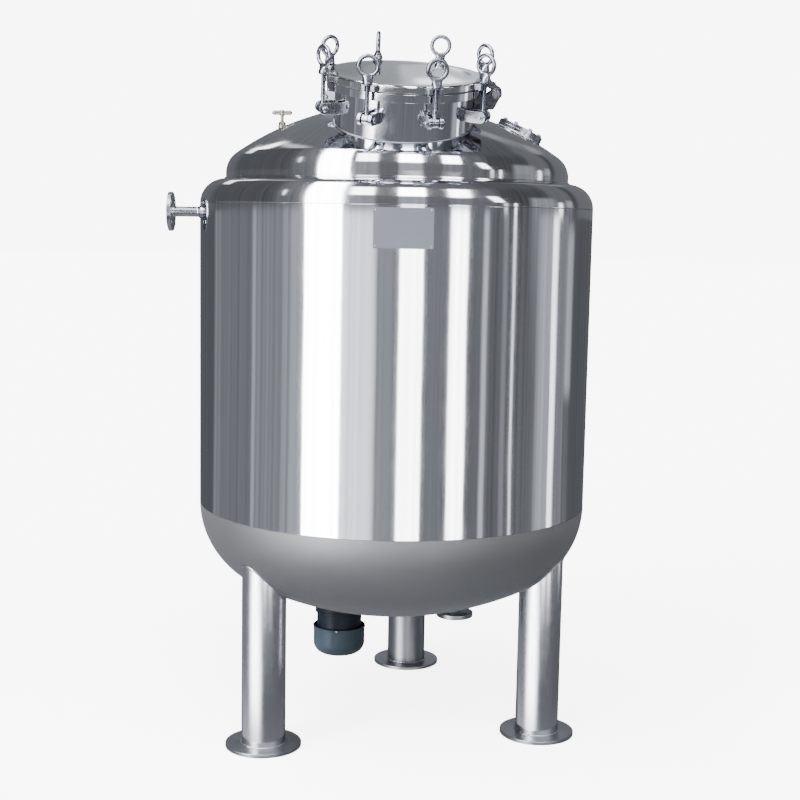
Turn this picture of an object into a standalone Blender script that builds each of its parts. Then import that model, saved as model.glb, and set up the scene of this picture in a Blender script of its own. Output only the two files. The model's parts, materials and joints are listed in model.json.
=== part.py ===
"""Homogenizer mixing tank: a jacketed stainless vessel on three tube legs.

An insulated double wall carries a polished shoulder and a domed head. A round manhole leans
forward on the head, closed by eight swing bolts with eye nuts. A bottom homogenizer with its
motor and an outlet nozzle hang under the dished bottom. Metres, +Z up, floor at z = 0.
The origin is the centre of the footprint's box at floor level. The tank's own axis stands a
little beside it, because the side nozzle reaches out on one side only.
"""

import math

import bmesh
import bpy
from mathutils import Matrix, Vector

# Fit between touching pieces
GAP = 0.0003

# Vessel and jacket
JACKET_RADIUS = 0.650
JACKET_BOTTOM = 0.745
JACKET_TOP = 1.735
DOME_RADIUS = 0.566
DOME_WALL = 0.006
SHOULDER_ROUND = 0.080
DOME_KNUCKLE_START = 1.835
DOME_KNUCKLE = 0.081
DOME_CROWN = 0.922
DISH_KNUCKLE = 0.285
DISH_CROWN = 1.082
DISH_WALL = 0.008

# Flats round a turned piece, from the shell down to a bolt
BIG_SEGMENTS = 48
MEDIUM_SEGMENTS = 24
SMALL_SEGMENTS = 10

# How far pieces reach into a shell before they are cut back to its surface
NECK_CUT_DEPTH = 0.30
GLASS_CUT_DEPTH = 0.012
WINDOW_CUT_REACH = 0.05
VENT_CUT_DEPTH = 0.02
NOZZLE_CUT_RADIUS = 0.60
PLATE_CUT_RADIUS = 0.63
DISH_CUT_HEIGHT = 0.50

# Manhole: its frame has +Z along the neck and z = 0 at the lid's top edge
MANHOLE_OFFSET = (0.016, -0.310)
MANHOLE_LEAN_FORWARD = math.radians(15.0)
MANHOLE_LEAN_RIGHT = math.radians(1.8)
MANHOLE_HEIGHT = 0.127
MANHOLE_SEGMENTS = 32
NECK_RADIUS = 0.215
NECK_WALL = 0.006
LID_RADIUS = 0.240
LID_THICKNESS = 0.022
LID_EDGE = 0.003
LID_FLAT_RIM = 0.030
LID_CROWN = 0.008
LID_CROWN_SHOULDER = (0.55, 0.70)  # shares of the crown's radius and height
GASKET_THICKNESS = 0.004
GASKET_INSET = 0.003
NECK_FLANGE_THICKNESS = 0.024

# Swing bolts
BOLT_COUNT = 8
BOLT_CIRCLE_RADIUS = 0.262
BOLT_FIRST_ANGLE = math.radians(20.0)
PIVOT_BELOW_LID = 0.102
BOLT_RADIUS = 0.007
BOLT_EYE_RADIUS = 0.014
BOLT_EYE_BORE = 0.0066
BOLT_EYE_WIDTH = 0.022
PIN_RADIUS = 0.006
PIN_LENGTH = 0.064
CHEEK_THICKNESS = 0.012
CHEEK_HALF_HEIGHT = 0.018
CHEEK_SIDE_GAP = 0.001
LUG_TOP_DROP = 0.004
LUG_FOOT_LIFT = 0.001
LUG_ROOT = 0.006
LUG_SLOT_WIDTH = 0.018
LUG_HORN_WIDTH = 0.016

# Eye nuts: how far each ring is turned about its bolt, where it was left when tightened
NUT_COLLAR_RADIUS = 0.017
NUT_COLLAR_TOP_RADIUS = 0.0125
NUT_COLLAR_HEIGHT = 0.028
NUT_COLLAR_SHOULDER = 0.010
NUT_SEAT_GAP = 0.0012
BOLT_END_DEPTH = 0.0105
RING_RADIUS = 0.0285
RING_BAR_RADIUS = 0.0065
RING_CENTRE_HEIGHT = 0.052
RING_TURNS = [25.0, -150.0, 68.0, 155.0, 20.0, 20.0, -5.0, 78.0]

# Lid hinge
HINGE_ANGLE = math.radians(-2.5)
HINGE_RADIUS = 0.280
HINGE_DROP = 0.046
HINGE_ARM_WIDTH = 0.028
HINGE_BARREL_RADIUS = 0.016
HINGE_PIN_RADIUS = 0.007
HINGE_CHEEK_THICKNESS = 0.010
HINGE_CHEEK_FOOT = 0.094
HINGE_CHEEK_TOP = 0.0525
HINGE_CHEEK_ROUND = 0.018
HINGE_FOOT_INSET = 0.012
HINGE_TOP_INSET = 0.030
HINGE_SIDE_GAP = 0.001
HINGE_PIN_PLAY = 0.0006
HINGE_WEB_THICKNESS = 0.012
HINGE_WEB_INSET = 0.002
ARM_TOP_DROP = 0.002
ARM_FOOT_LIFT = 0.001
ARM_END_LOW = (-0.010, 0.005)  # from the pin
ARM_END_HIGH = (0.002, 0.0145)

# Sight glass and vent on the dome
GLASS_OFFSET = 0.402
GLASS_FLANGE_RADIUS = 0.074
GLASS_BASE_HEIGHT = 0.010
GLASS_RING_HEIGHT = 0.011
GLASS_PANE_RADIUS = 0.052
GLASS_PANE_THICKNESS = 0.008
GLASS_WINDOW_RADIUS = 0.042
VENT_OFFSET = -0.384
VENT_TOP = 2.026
VENT_BOSS = (0.013, 0.010)  # radius, top over the dome
VENT_COLLAR = (0.009, 0.020)
VENT_CHAMFER = 0.003
VENT_STEM_RADIUS = 0.0055
VENT_HUB = (0.0085, 0.015)
VENT_HUB_CAP = (0.006, 0.019)
VENT_BAR_HEIGHT = 0.010
VENT_BAR_HALF_LENGTH = 0.034
VENT_BAR_RADIUS = 0.0055
VENT_KNOB = [(0.000, 0.002), (0.001, 0.008)]  # radius over the end's, place from the end
VENT_KNOB_RADIUS = 0.007
VENT_KNOB_LENGTH = 0.014

# Side nozzle on the jacket
NOZZLE_HEIGHT = 1.706
NOZZLE_REACH = 0.7615
NOZZLE_PIPE_RADIUS = 0.0169
NOZZLE_BORE = 0.0135
NOZZLE_FLANGE_RADIUS = 0.065
NOZZLE_FLANGE_THICKNESS = 0.016
NOZZLE_FLANGE_EDGE = 0.003

# Nameplate on the jacket's front
PLATE_ANGLE = math.radians(271.8)
PLATE_WIDTH = 0.176
PLATE_HEIGHT = 0.118
PLATE_CENTRE_HEIGHT = 1.668
PLATE_FRONT = 0.6550
PLATE_THICKNESS = 0.002
PLATE_OVERHANG = 0.004

# Legs, as angles round the tank from +X
LEG_ANGLES = {"left": 222.0, "right": 337.0, "back": 83.0}
LEG_CIRCLE_RADIUS = 0.540
LEG_RADIUS = 0.071
FOOT_RADIUS = 0.1225
FOOT_THICKNESS = 0.012

# Bottom homogenizer and its motor
MOTOR_AT = (-0.177, 0.080)
HOUSING_RADIUS = 0.062
HOUSING_FLANGE_RADIUS = 0.084
HOUSING_FLANGE_TOP = 0.346
HOUSING_FLANGE_THICKNESS = 0.012
MOTOR_FRAME_RADIUS = 0.078
MOTOR_FRAME_BOTTOM = 0.260
MOTOR_FRAME_LIP = 0.010
COWL_RADIUS = 0.091
COWL_TOP = 0.276
COWL_BOTTOM = 0.176
COWL_ROUND = 0.040
COWL_WALL = 0.004

# Bottom outlet
OUTLET_AT = (0.226, 0.020)
OUTLET_PIPE_RADIUS = 0.024
OUTLET_BORE = 0.0205
OUTLET_FLANGE_RADIUS = 0.063
OUTLET_FLANGE_TOP = 0.346
OUTLET_FLANGE_THICKNESS = 0.016

# The tank's axis in the part's frame, which is centred on the footprint's box: the side nozzle
# reaches out on the left, the nameplate's corner at the front and a foot plate at the back
AXIS_X = (NOZZLE_REACH - JACKET_RADIUS) / 2
PLATE_TURN = PLATE_ANGLE - 1.5 * math.pi
FRONT_REACH = PLATE_FRONT * math.cos(PLATE_TURN) + PLATE_WIDTH / 2 * math.sin(PLATE_TURN)
BACK_REACH = LEG_CIRCLE_RADIUS * math.sin(math.radians(LEG_ANGLES["back"])) + FOOT_RADIUS
AXIS_Y = (FRONT_REACH - BACK_REACH) / 2


def clear_scene():
    for item in list(bpy.data.objects):
        bpy.data.objects.remove(item, do_unlink=True)


def make_material(name, colour, roughness, metallic):
    material = bpy.data.materials.new(name)
    material.use_nodes = True
    shader = material.node_tree.nodes["Principled BSDF"]
    shader.inputs["Base Color"].default_value = (*colour, 1.0)
    shader.inputs["Roughness"].default_value = roughness
    shader.inputs["Metallic"].default_value = metallic
    return material


def add_object(name, mesh, material=None, parent=None, matrix=None, smooth=True):
    """Put a mesh in the scene, placed in its parent's frame."""
    item = bpy.data.objects.new(name, mesh)
    bpy.context.scene.collection.objects.link(item)
    if material:
        mesh.materials.clear()
        mesh.materials.append(material)
    if smooth:
        mesh.shade_smooth()
        mesh.set_sharp_from_angle(angle=math.radians(35))
    if parent:
        item.parent = parent
    item.matrix_local = matrix or Matrix.Identity(4)
    return item


def add_empty(name, parent=None, matrix=None):
    item = bpy.data.objects.new(name, None)
    bpy.context.scene.collection.objects.link(item)
    if parent:
        item.parent = parent
    item.matrix_local = matrix or Matrix.Identity(4)
    return item


def mesh_from(bm, name):
    bmesh.ops.remove_doubles(bm, verts=bm.verts, dist=1e-6)
    bmesh.ops.recalc_face_normals(bm, faces=bm.faces)
    mesh = bpy.data.meshes.new(name)
    bm.to_mesh(mesh)
    bm.free()
    return mesh


def turned(name, profile, segments, loop=False):
    """Spin a profile of (radius, height) points about Z. A loop makes a ring-shaped body."""
    bm = bmesh.new()
    points = [bm.verts.new((radius, 0.0, height)) for radius, height in profile]
    edges = [bm.edges.new(pair) for pair in zip(points[:-1], points[1:])]
    if loop:
        edges.append(bm.edges.new((points[-1], points[0])))
    bmesh.ops.spin(bm, geom=points + edges, cent=(0, 0, 0), axis=(0, 0, 1), angle=math.tau,
                   steps=segments, use_merge=True, use_duplicate=False)
    return mesh_from(bm, name)


def slab(name, outline, depth):
    """Extrude an outline of (x, z) points through y, centred on y = 0."""
    bm = bmesh.new()
    face = bm.faces.new([bm.verts.new((x, -depth / 2, z)) for x, z in outline])
    made = bmesh.ops.extrude_face_region(bm, geom=[face])
    moved = [item for item in made["geom"] if isinstance(item, bmesh.types.BMVert)]
    bmesh.ops.translate(bm, verts=moved, vec=(0, depth, 0))
    return mesh_from(bm, name)


def merged(name, parts):
    """One mesh from (mesh, matrix) pairs whose bodies do not touch."""
    bm = bmesh.new()
    for mesh, matrix in parts:
        copy = mesh.copy()
        copy.transform(matrix)
        bm.from_mesh(copy)
        bpy.data.meshes.remove(copy)
    return mesh_from(bm, name)


def arc(centre, radius, start, end, steps):
    """Points (x, z) on an arc, angles in degrees from +X."""
    angles = [math.radians(start + (end - start) * step / steps) for step in range(steps + 1)]
    return [(centre[0] + radius * math.cos(a), centre[1] + radius * math.sin(a)) for a in angles]


def guide(name, mesh, parent, matrix=None):
    """A cutter or union partner, not a piece of the tank."""
    item = add_object(name, mesh, parent=parent, matrix=matrix, smooth=False)
    item.hide_render = True
    item.display_type = "WIRE"
    return item


def boolean(item, other, operation):
    change = item.modifiers.new(other.name, "BOOLEAN")
    change.operation = operation
    change.solver = "EXACT"
    change.object = other


def evaluated_mesh(item, name):
    """The mesh of an object with its modifiers, for copies that share it."""
    bpy.context.view_layer.update()
    depsgraph = bpy.context.evaluated_depsgraph_get()
    mesh = bpy.data.meshes.new_from_object(item.evaluated_get(depsgraph))
    mesh.name = name
    return mesh


def head_curve(radius, knuckle, crown, knuckle_steps, crown_steps):
    """Torispherical head: (radius, height) from the rim (height 0) to the pole."""
    turn = math.asin((radius - knuckle) / (crown - knuckle))
    points = []
    for step in range(knuckle_steps + 1):
        a = (math.pi / 2 - turn) * step / knuckle_steps
        points.append((radius - knuckle + knuckle * math.cos(a), knuckle * math.sin(a)))
    sphere_centre = points[-1][1] - crown * math.cos(turn)
    for step in range(1, crown_steps + 1):
        a = turn * (1 - step / crown_steps)
        points.append((crown * math.sin(a), sphere_centre + crown * math.cos(a)))
    points[-1] = (0.0, points[-1][1])
    return points


def dome_outside(grow=0.0):
    curve = head_curve(DOME_RADIUS + grow, DOME_KNUCKLE + grow, DOME_CROWN + grow, 4, 5)
    return [(radius, DOME_KNUCKLE_START + height) for radius, height in curve]


def dish_outside(grow=0.0):
    curve = head_curve(JACKET_RADIUS + grow, DISH_KNUCKLE + grow, DISH_CROWN + grow, 6, 4)
    return [(radius, JACKET_BOTTOM - height) for radius, height in curve]


def round_placement(angle, radius, height):
    """A frame at a point round a vertical axis, its X pointing outward."""
    place = Matrix.Translation((radius * math.cos(angle), radius * math.sin(angle), height))
    return place @ Matrix.Rotation(angle, 4, "Z")


def build_shell(tank, steel, matt):
    inner = DOME_RADIUS - DOME_WALL
    wall = [(inner, JACKET_BOTTOM + GAP), (JACKET_RADIUS, JACKET_BOTTOM + GAP),
            (JACKET_RADIUS, JACKET_TOP), (inner, JACKET_TOP)]
    add_object("jacket_wall", turned("jacket_wall", wall, BIG_SEGMENTS, True), steel, tank)

    foot = JACKET_TOP + GAP
    bore = DOME_RADIUS + GAP
    round_centre = (JACKET_RADIUS - SHOULDER_ROUND, foot)
    shoulder = [(bore, foot), *arc(round_centre, SHOULDER_ROUND, 0, 90, 5),
                (bore, foot + SHOULDER_ROUND)]
    add_object("jacket_shoulder", turned("jacket_shoulder", shoulder, BIG_SEGMENTS, True),
               steel, tank)

    outside = dome_outside()
    inside = head_curve(inner, DOME_KNUCKLE - DOME_WALL, DOME_CROWN - DOME_WALL, 2, 4)
    inside = [(radius, DOME_KNUCKLE_START + height) for radius, height in inside]
    shell = [(inner, foot), (DOME_RADIUS, foot), *outside, *reversed(inside)]
    dome = add_object("top_dome", turned("top_dome", close_shell(shell), BIG_SEGMENTS), steel, tank)

    outside = dish_outside()
    inside = head_curve(JACKET_RADIUS - DISH_WALL, DISH_KNUCKLE - DISH_WALL,
                        DISH_CROWN - DISH_WALL, 4, 3)
    inside = [(radius, JACKET_BOTTOM - height) for radius, height in inside]
    shell = [*outside, *reversed(inside)]
    dish = add_object("bottom_dish", turned("bottom_dish", close_shell(shell), BIG_SEGMENTS),
                      matt, tank)
    return dome, dish


def close_shell(points):
    """Order a shell's points so that they run from the outer pole to the inner pole."""
    poles = [index for index, point in enumerate(points) if point[0] == 0.0]
    return points[poles[1]:] + points[:poles[0] + 1]


def build_guides(tank):
    """Solids that stand 0.3 mm proud of the heads and jacket, to seat other pieces on them."""
    dome = dome_outside(GAP)
    dome_solid = [(0.0, JACKET_BOTTOM), (DOME_RADIUS + GAP, JACKET_BOTTOM), *dome]
    dish = dish_outside(GAP)
    dish_solid = [(0.0, JACKET_TOP), (JACKET_RADIUS + GAP, JACKET_TOP), *dish]
    jacket = [(0.0, JACKET_BOTTOM), (JACKET_RADIUS + GAP, JACKET_BOTTOM),
              (JACKET_RADIUS + GAP, JACKET_TOP), (0.0, JACKET_TOP)]
    return {
        "dome": guide("dome_clearance", turned("dome_clearance", dome_solid, BIG_SEGMENTS), tank),
        "dish": guide("dish_clearance", turned("dish_clearance", dish_solid, BIG_SEGMENTS), tank),
        "jacket": guide("jacket_clearance", turned("jacket_clearance", jacket, BIG_SEGMENTS), tank),
    }


def manhole_frame(tank):
    """An empty at the centre of the lid's top edge, its Z along the neck."""
    x, y = MANHOLE_OFFSET
    sphere_centre = dome_outside()[-1][1] - DOME_CROWN
    surface = sphere_centre + math.sqrt(DOME_CROWN ** 2 - x ** 2 - y ** 2)
    lean = Matrix.Rotation(MANHOLE_LEAN_FORWARD, 4, "X") @ Matrix.Rotation(MANHOLE_LEAN_RIGHT, 4, "Y")
    place = Matrix.Translation((x, y, surface)) @ lean
    return add_empty("manhole_frame", tank, place @ Matrix.Translation((0, 0, MANHOLE_HEIGHT)))


def bolt_angles():
    return [BOLT_FIRST_ANGLE + math.tau * index / BOLT_COUNT for index in range(BOLT_COUNT)]


def cheek_outline(reach, foot, top, pivot_height, root):
    """Side view of a bracket cheek: a plate from the neck with a round end at the pivot."""
    half = (top - foot) / 2
    round_end = arc((reach, pivot_height), half, -90, 90, 4)
    return [(root, foot), *round_end, (root, top)]


def build_neck(manhole, guides, dome, steel):
    root = NECK_RADIUS - NECK_WALL / 2
    top = -LID_THICKNESS - GASKET_THICKNESS
    flange_foot = top - NECK_FLANGE_THICKNESS
    inner = NECK_RADIUS - NECK_WALL
    deep = -NECK_CUT_DEPTH
    profile = [(inner, deep), (NECK_RADIUS, deep), (NECK_RADIUS, flange_foot),
               (LID_RADIUS, flange_foot), (LID_RADIUS, top), (inner, top)]
    neck = add_object("manhole_neck", turned("manhole_neck", profile, MANHOLE_SEGMENTS, True),
                      steel, manhole)

    outline = cheek_outline(BOLT_CIRCLE_RADIUS, -PIVOT_BELOW_LID - CHEEK_HALF_HEIGHT,
                            -PIVOT_BELOW_LID + CHEEK_HALF_HEIGHT, -PIVOT_BELOW_LID, root)
    cheek = slab("cheek", outline, CHEEK_THICKNESS)
    side = BOLT_EYE_WIDTH / 2 + CHEEK_SIDE_GAP + CHEEK_THICKNESS / 2
    cheeks = []
    pins = []
    pin = turned("pin", [(0, -PIN_LENGTH / 2), (PIN_RADIUS, -PIN_LENGTH / 2),
                         (PIN_RADIUS, PIN_LENGTH / 2), (0, PIN_LENGTH / 2)], SMALL_SEGMENTS)
    lay_down = Matrix.Rotation(math.pi / 2, 4, "X")
    for angle in bolt_angles():
        turn = Matrix.Rotation(angle, 4, "Z")
        cheeks += [(cheek, turn @ Matrix.Translation((0, s * side, 0))) for s in (-1, 1)]
        pivot = Matrix.Translation((BOLT_CIRCLE_RADIUS, 0, -PIVOT_BELOW_LID))
        pins.append((pin, turn @ pivot @ lay_down))
    boolean(neck, guide("bracket_cheeks", merged("bracket_cheeks", cheeks), manhole), "UNION")
    boolean(neck, guide("bracket_pins", merged("bracket_pins", pins), manhole), "UNION")
    boolean(neck, guides["dome"], "DIFFERENCE")

    bore = turned("manhole_bore", [(0, deep), (inner, deep), (inner, 0), (0, 0)], MANHOLE_SEGMENTS)
    boolean(dome, guide("manhole_bore", bore, manhole), "DIFFERENCE")


def build_lid(manhole, steel, rubber):
    seat = -LID_THICKNESS - GASKET_THICKNESS
    inner = NECK_RADIUS - NECK_WALL + GASKET_INSET
    outer = LID_RADIUS - GASKET_INSET
    gasket = [(inner, seat + GAP), (outer, seat + GAP), (outer, -LID_THICKNESS - GAP),
              (inner, -LID_THICKNESS - GAP)]
    add_object("manhole_gasket", turned("manhole_gasket", gasket, MANHOLE_SEGMENTS, True),
               rubber, manhole)

    flat = LID_RADIUS - LID_FLAT_RIM
    along, up = LID_CROWN_SHOULDER
    profile = [(0, -LID_THICKNESS), (LID_RADIUS, -LID_THICKNESS), (LID_RADIUS, -LID_EDGE),
               (LID_RADIUS - LID_EDGE, 0), (flat, 0), (flat * along, LID_CROWN * up),
               (0, LID_CROWN)]
    lid = add_object("manhole_lid", turned("manhole_lid", profile, MANHOLE_SEGMENTS), steel, manhole)
    root = LID_RADIUS - LUG_ROOT
    foot = -LID_THICKNESS + LUG_FOOT_LIFT
    horn = slab("horn", [(root, foot), (BOLT_CIRCLE_RADIUS, foot),
                         (BOLT_CIRCLE_RADIUS, -LUG_TOP_DROP), (root, -LUG_TOP_DROP)], LUG_HORN_WIDTH)
    side = (LUG_SLOT_WIDTH + LUG_HORN_WIDTH) / 2
    horns = [(horn, Matrix.Rotation(angle, 4, "Z") @ Matrix.Translation((0, s * side, 0)))
             for angle in bolt_angles() for s in (-1, 1)]
    boolean(lid, guide("lid_lugs", merged("lid_lugs", horns), manhole), "UNION")


def build_swing_bolts(manhole, steel):
    """Each bolt and its eye nut hang on an empty that sits on the bolt's hinge pin."""
    seat = PIVOT_BELOW_LID - LUG_TOP_DROP + NUT_SEAT_GAP
    bolt_top = seat + NUT_COLLAR_HEIGHT - BOLT_END_DEPTH
    half = BOLT_EYE_WIDTH / 2
    eye = turned("bolt_eye", [(BOLT_EYE_BORE, -half), (BOLT_EYE_RADIUS, -half),
                              (BOLT_EYE_RADIUS, half), (BOLT_EYE_BORE, half)],
                 SMALL_SEGMENTS, True)
    eye.transform(Matrix.Rotation(math.pi / 2, 4, "X"))
    master = guide("bolt_master", eye, None)
    start = (BOLT_EYE_RADIUS + BOLT_EYE_BORE) / 2
    shank = turned("bolt_shank", [(0, start), (BOLT_RADIUS, start), (BOLT_RADIUS, bolt_top),
                                  (0, bolt_top)], SMALL_SEGMENTS)
    boolean(master, guide("bolt_shank", shank, None), "UNION")
    bolt_mesh = evaluated_mesh(master, "swing_bolt")

    bore = (BOLT_RADIUS + GAP) / math.cos(math.pi / SMALL_SEGMENTS)
    blind = bolt_top + GAP
    top = seat + NUT_COLLAR_HEIGHT
    outline = [(0, blind), (bore, blind), (bore, seat), (NUT_COLLAR_RADIUS, seat),
               (NUT_COLLAR_RADIUS, seat + NUT_COLLAR_SHOULDER), (NUT_COLLAR_TOP_RADIUS, top), (0, top)]
    collar = turned("nut_collar", outline, SMALL_SEGMENTS)
    nut = guide("nut_master", collar, None)
    ring = turned("nut_ring", arc((RING_RADIUS, 0), RING_BAR_RADIUS, 0, 360, 6)[:-1],
                  SMALL_SEGMENTS, True)
    ring.transform(Matrix.Rotation(math.pi / 2, 4, "Y"))
    centre = PIVOT_BELOW_LID + RING_CENTRE_HEIGHT
    boolean(nut, guide("nut_ring", ring, None, Matrix.Translation((0, 0, centre))), "UNION")
    nut_mesh = evaluated_mesh(nut, "eye_nut")

    for index, angle in enumerate(bolt_angles()):
        number = index + 1
        place = round_placement(angle, BOLT_CIRCLE_RADIUS, -PIVOT_BELOW_LID)
        pivot = add_empty(f"swing_pivot_{number}", manhole, place)
        add_object(f"swing_bolt_{number}", bolt_mesh, steel, pivot)
        turn = Matrix.Rotation(math.radians(RING_TURNS[index]), 4, "Z")
        add_object(f"eye_nut_{number}", nut_mesh, steel, pivot, turn)


def build_hinge(manhole, dark):
    turn = Matrix.Rotation(HINGE_ANGLE, 4, "Z")
    side = HINGE_ARM_WIDTH / 2 + HINGE_SIDE_GAP + HINGE_CHEEK_THICKNESS / 2
    root = NECK_RADIUS + GAP
    outline = [(root, -HINGE_CHEEK_FOOT), (HINGE_RADIUS - HINGE_FOOT_INSET, -HINGE_CHEEK_FOOT),
               *arc((HINGE_RADIUS, -HINGE_DROP), HINGE_CHEEK_ROUND, -60, 90, 5),
               (HINGE_RADIUS - HINGE_TOP_INSET, -HINGE_CHEEK_TOP), (root, -HINGE_CHEEK_TOP)]
    cheek = slab("hinge_cheek", outline, HINGE_CHEEK_THICKNESS)
    web_foot = -HINGE_CHEEK_FOOT + HINGE_WEB_INSET
    web_top = -HINGE_CHEEK_TOP - HINGE_WEB_INSET
    web_front = root + HINGE_WEB_THICKNESS
    web_outline = [(root, web_foot), (web_front, web_foot), (web_front, web_top), (root, web_top)]
    web = slab("hinge_web", web_outline, 2 * side)
    bracket = add_object("lid_hinge_bracket",
                         merged("lid_hinge_bracket",
                                [(cheek, Matrix.Translation((0, s * side, 0))) for s in (-1, 1)]),
                         dark, manhole, turn, smooth=False)
    boolean(bracket, guide("hinge_web", web, manhole, turn), "UNION")
    pin_half = side + HINGE_CHEEK_THICKNESS
    pin = turned("hinge_pin", [(0, -pin_half), (HINGE_PIN_RADIUS, -pin_half),
                               (HINGE_PIN_RADIUS, pin_half), (0, pin_half)], SMALL_SEGMENTS)
    lay_down = Matrix.Rotation(math.pi / 2, 4, "X")
    at_pin = Matrix.Translation((HINGE_RADIUS, 0, -HINGE_DROP)) @ lay_down
    boolean(bracket, guide("hinge_pin", pin, manhole, turn @ at_pin), "UNION")

    half = HINGE_ARM_WIDTH / 2
    bore = HINGE_PIN_RADIUS + HINGE_PIN_PLAY
    barrel = turned("arm_barrel", [(bore, -half), (HINGE_BARREL_RADIUS, -half),
                                   (HINGE_BARREL_RADIUS, half), (bore, half)],
                    SMALL_SEGMENTS, True)
    barrel.transform(at_pin)
    arm = add_object("lid_hinge_arm", barrel, dark, manhole, turn, smooth=False)
    start = LID_RADIUS + GAP
    ends = [(HINGE_RADIUS + x, -HINGE_DROP + z) for x, z in (ARM_END_LOW, ARM_END_HIGH)]
    strap = slab("arm_strap", [(start, -LID_THICKNESS + ARM_FOOT_LIFT), *ends,
                               (start, -ARM_TOP_DROP)], HINGE_ARM_WIDTH)
    boolean(arm, guide("arm_strap", strap, manhole, turn), "UNION")


def on_dome(x, lean_with_surface):
    """A frame on the dome's outside, straight across from the tank's axis."""
    sphere_centre = dome_outside()[-1][1] - DOME_CROWN
    height = sphere_centre + math.sqrt(DOME_CROWN ** 2 - x ** 2)
    place = Matrix.Translation((x, 0, height))
    if lean_with_surface:
        place = place @ Matrix.Rotation(math.asin(x / DOME_CROWN), 4, "Y")
    return place


def build_sight_glass(tank, guides, dome, steel, glass):
    place = on_dome(GLASS_OFFSET, True)
    reach = WINDOW_CUT_REACH
    window = [(0, -reach), (GLASS_WINDOW_RADIUS, -reach), (GLASS_WINDOW_RADIUS, reach), (0, reach)]
    boolean(dome, guide("glass_window", turned("glass_window", window, MEDIUM_SEGMENTS), tank, place),
            "DIFFERENCE")
    step = GLASS_BASE_HEIGHT
    deep = -GLASS_CUT_DEPTH
    pane_top = step + GLASS_PANE_THICKNESS
    pocket = GLASS_PANE_RADIUS + GAP
    base = [(GLASS_WINDOW_RADIUS, deep), (GLASS_FLANGE_RADIUS, deep), (GLASS_FLANGE_RADIUS, step),
            (GLASS_WINDOW_RADIUS, step)]
    item = add_object("sight_glass_base", turned("sight_glass_base", base, MEDIUM_SEGMENTS, True),
                      steel, tank, place)
    boolean(item, guides["dome"], "DIFFERENCE")
    pane = [(0, step + GAP), (GLASS_PANE_RADIUS, step + GAP), (GLASS_PANE_RADIUS, pane_top - GAP),
            (0, pane_top - GAP)]
    add_object("sight_glass_pane", turned("sight_glass_pane", pane, MEDIUM_SEGMENTS), glass,
               tank, place)
    top = step + GLASS_RING_HEIGHT
    ring = [(pocket, step + GAP), (GLASS_FLANGE_RADIUS, step + GAP), (GLASS_FLANGE_RADIUS, top),
            (GLASS_WINDOW_RADIUS, top), (GLASS_WINDOW_RADIUS, pane_top), (pocket, pane_top)]
    add_object("sight_glass_ring", turned("sight_glass_ring", ring, MEDIUM_SEGMENTS, True), steel,
               tank, place)


def build_vent(tank, guides, brass):
    place = on_dome(VENT_OFFSET, False)
    base = place.translation.z
    top = VENT_TOP - base
    boss, boss_top = VENT_BOSS
    collar, collar_top = VENT_COLLAR
    stem = [(0, -VENT_CUT_DEPTH), (boss, -VENT_CUT_DEPTH), (boss, boss_top),
            (collar, boss_top + VENT_CHAMFER), (collar, collar_top),
            (VENT_STEM_RADIUS, collar_top + VENT_CHAMFER), (VENT_STEM_RADIUS, top), (0, top)]
    item = add_object("vent_stem", turned("vent_stem", stem, SMALL_SEGMENTS), brass, tank, place)
    boolean(item, guides["dome"], "DIFFERENCE")

    long = VENT_BAR_HALF_LENGTH
    knob = [(VENT_KNOB_RADIUS + more, long - from_end) for more, from_end in VENT_KNOB]
    half = [(0, long), *knob, (VENT_BAR_RADIUS, long - VENT_KNOB_LENGTH)]
    bar = [*[(radius, -along) for radius, along in half], *reversed(half)]
    bar_mesh = turned("vent_bar", bar, SMALL_SEGMENTS)
    bar_mesh.transform(Matrix.Rotation(math.pi / 2, 4, "Y"))
    hub_radius = VENT_HUB[0]
    hub = [(0, GAP), (hub_radius, GAP), VENT_HUB, VENT_HUB_CAP, (0, VENT_HUB_CAP[1])]
    axis = place @ Matrix.Translation((0, 0, top))
    handle = add_object("vent_handle", turned("vent_handle", hub, SMALL_SEGMENTS), brass, tank, axis)
    centre = axis @ Matrix.Translation((0, 0, VENT_BAR_HEIGHT))
    boolean(handle, guide("vent_bar", bar_mesh, tank, centre), "UNION")


def build_side_nozzle(tank, guides, steel):
    """The pipe points along -X, out of the jacket just under the shoulder."""
    place = Matrix.Translation((0, 0, NOZZLE_HEIGHT)) @ Matrix.Rotation(-math.pi / 2, 4, "Y")
    back = NOZZLE_REACH - NOZZLE_FLANGE_THICKNESS
    pipe = [(NOZZLE_BORE, NOZZLE_CUT_RADIUS), (NOZZLE_PIPE_RADIUS, NOZZLE_CUT_RADIUS),
            (NOZZLE_PIPE_RADIUS, back - GAP), (NOZZLE_BORE, back - GAP)]
    item = add_object("side_nozzle_pipe", turned("side_nozzle_pipe", pipe, MEDIUM_SEGMENTS, True),
                      steel, tank, place)
    boolean(item, guides["jacket"], "DIFFERENCE")
    edge = NOZZLE_FLANGE_EDGE
    flange = [(NOZZLE_BORE, back), (NOZZLE_FLANGE_RADIUS - edge, back),
              (NOZZLE_FLANGE_RADIUS, back + edge), (NOZZLE_FLANGE_RADIUS, NOZZLE_REACH - edge),
              (NOZZLE_FLANGE_RADIUS - edge, NOZZLE_REACH), (NOZZLE_BORE, NOZZLE_REACH)]
    add_object("side_nozzle_flange", turned("side_nozzle_flange", flange, MEDIUM_SEGMENTS, True),
               steel, tank, place)


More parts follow.
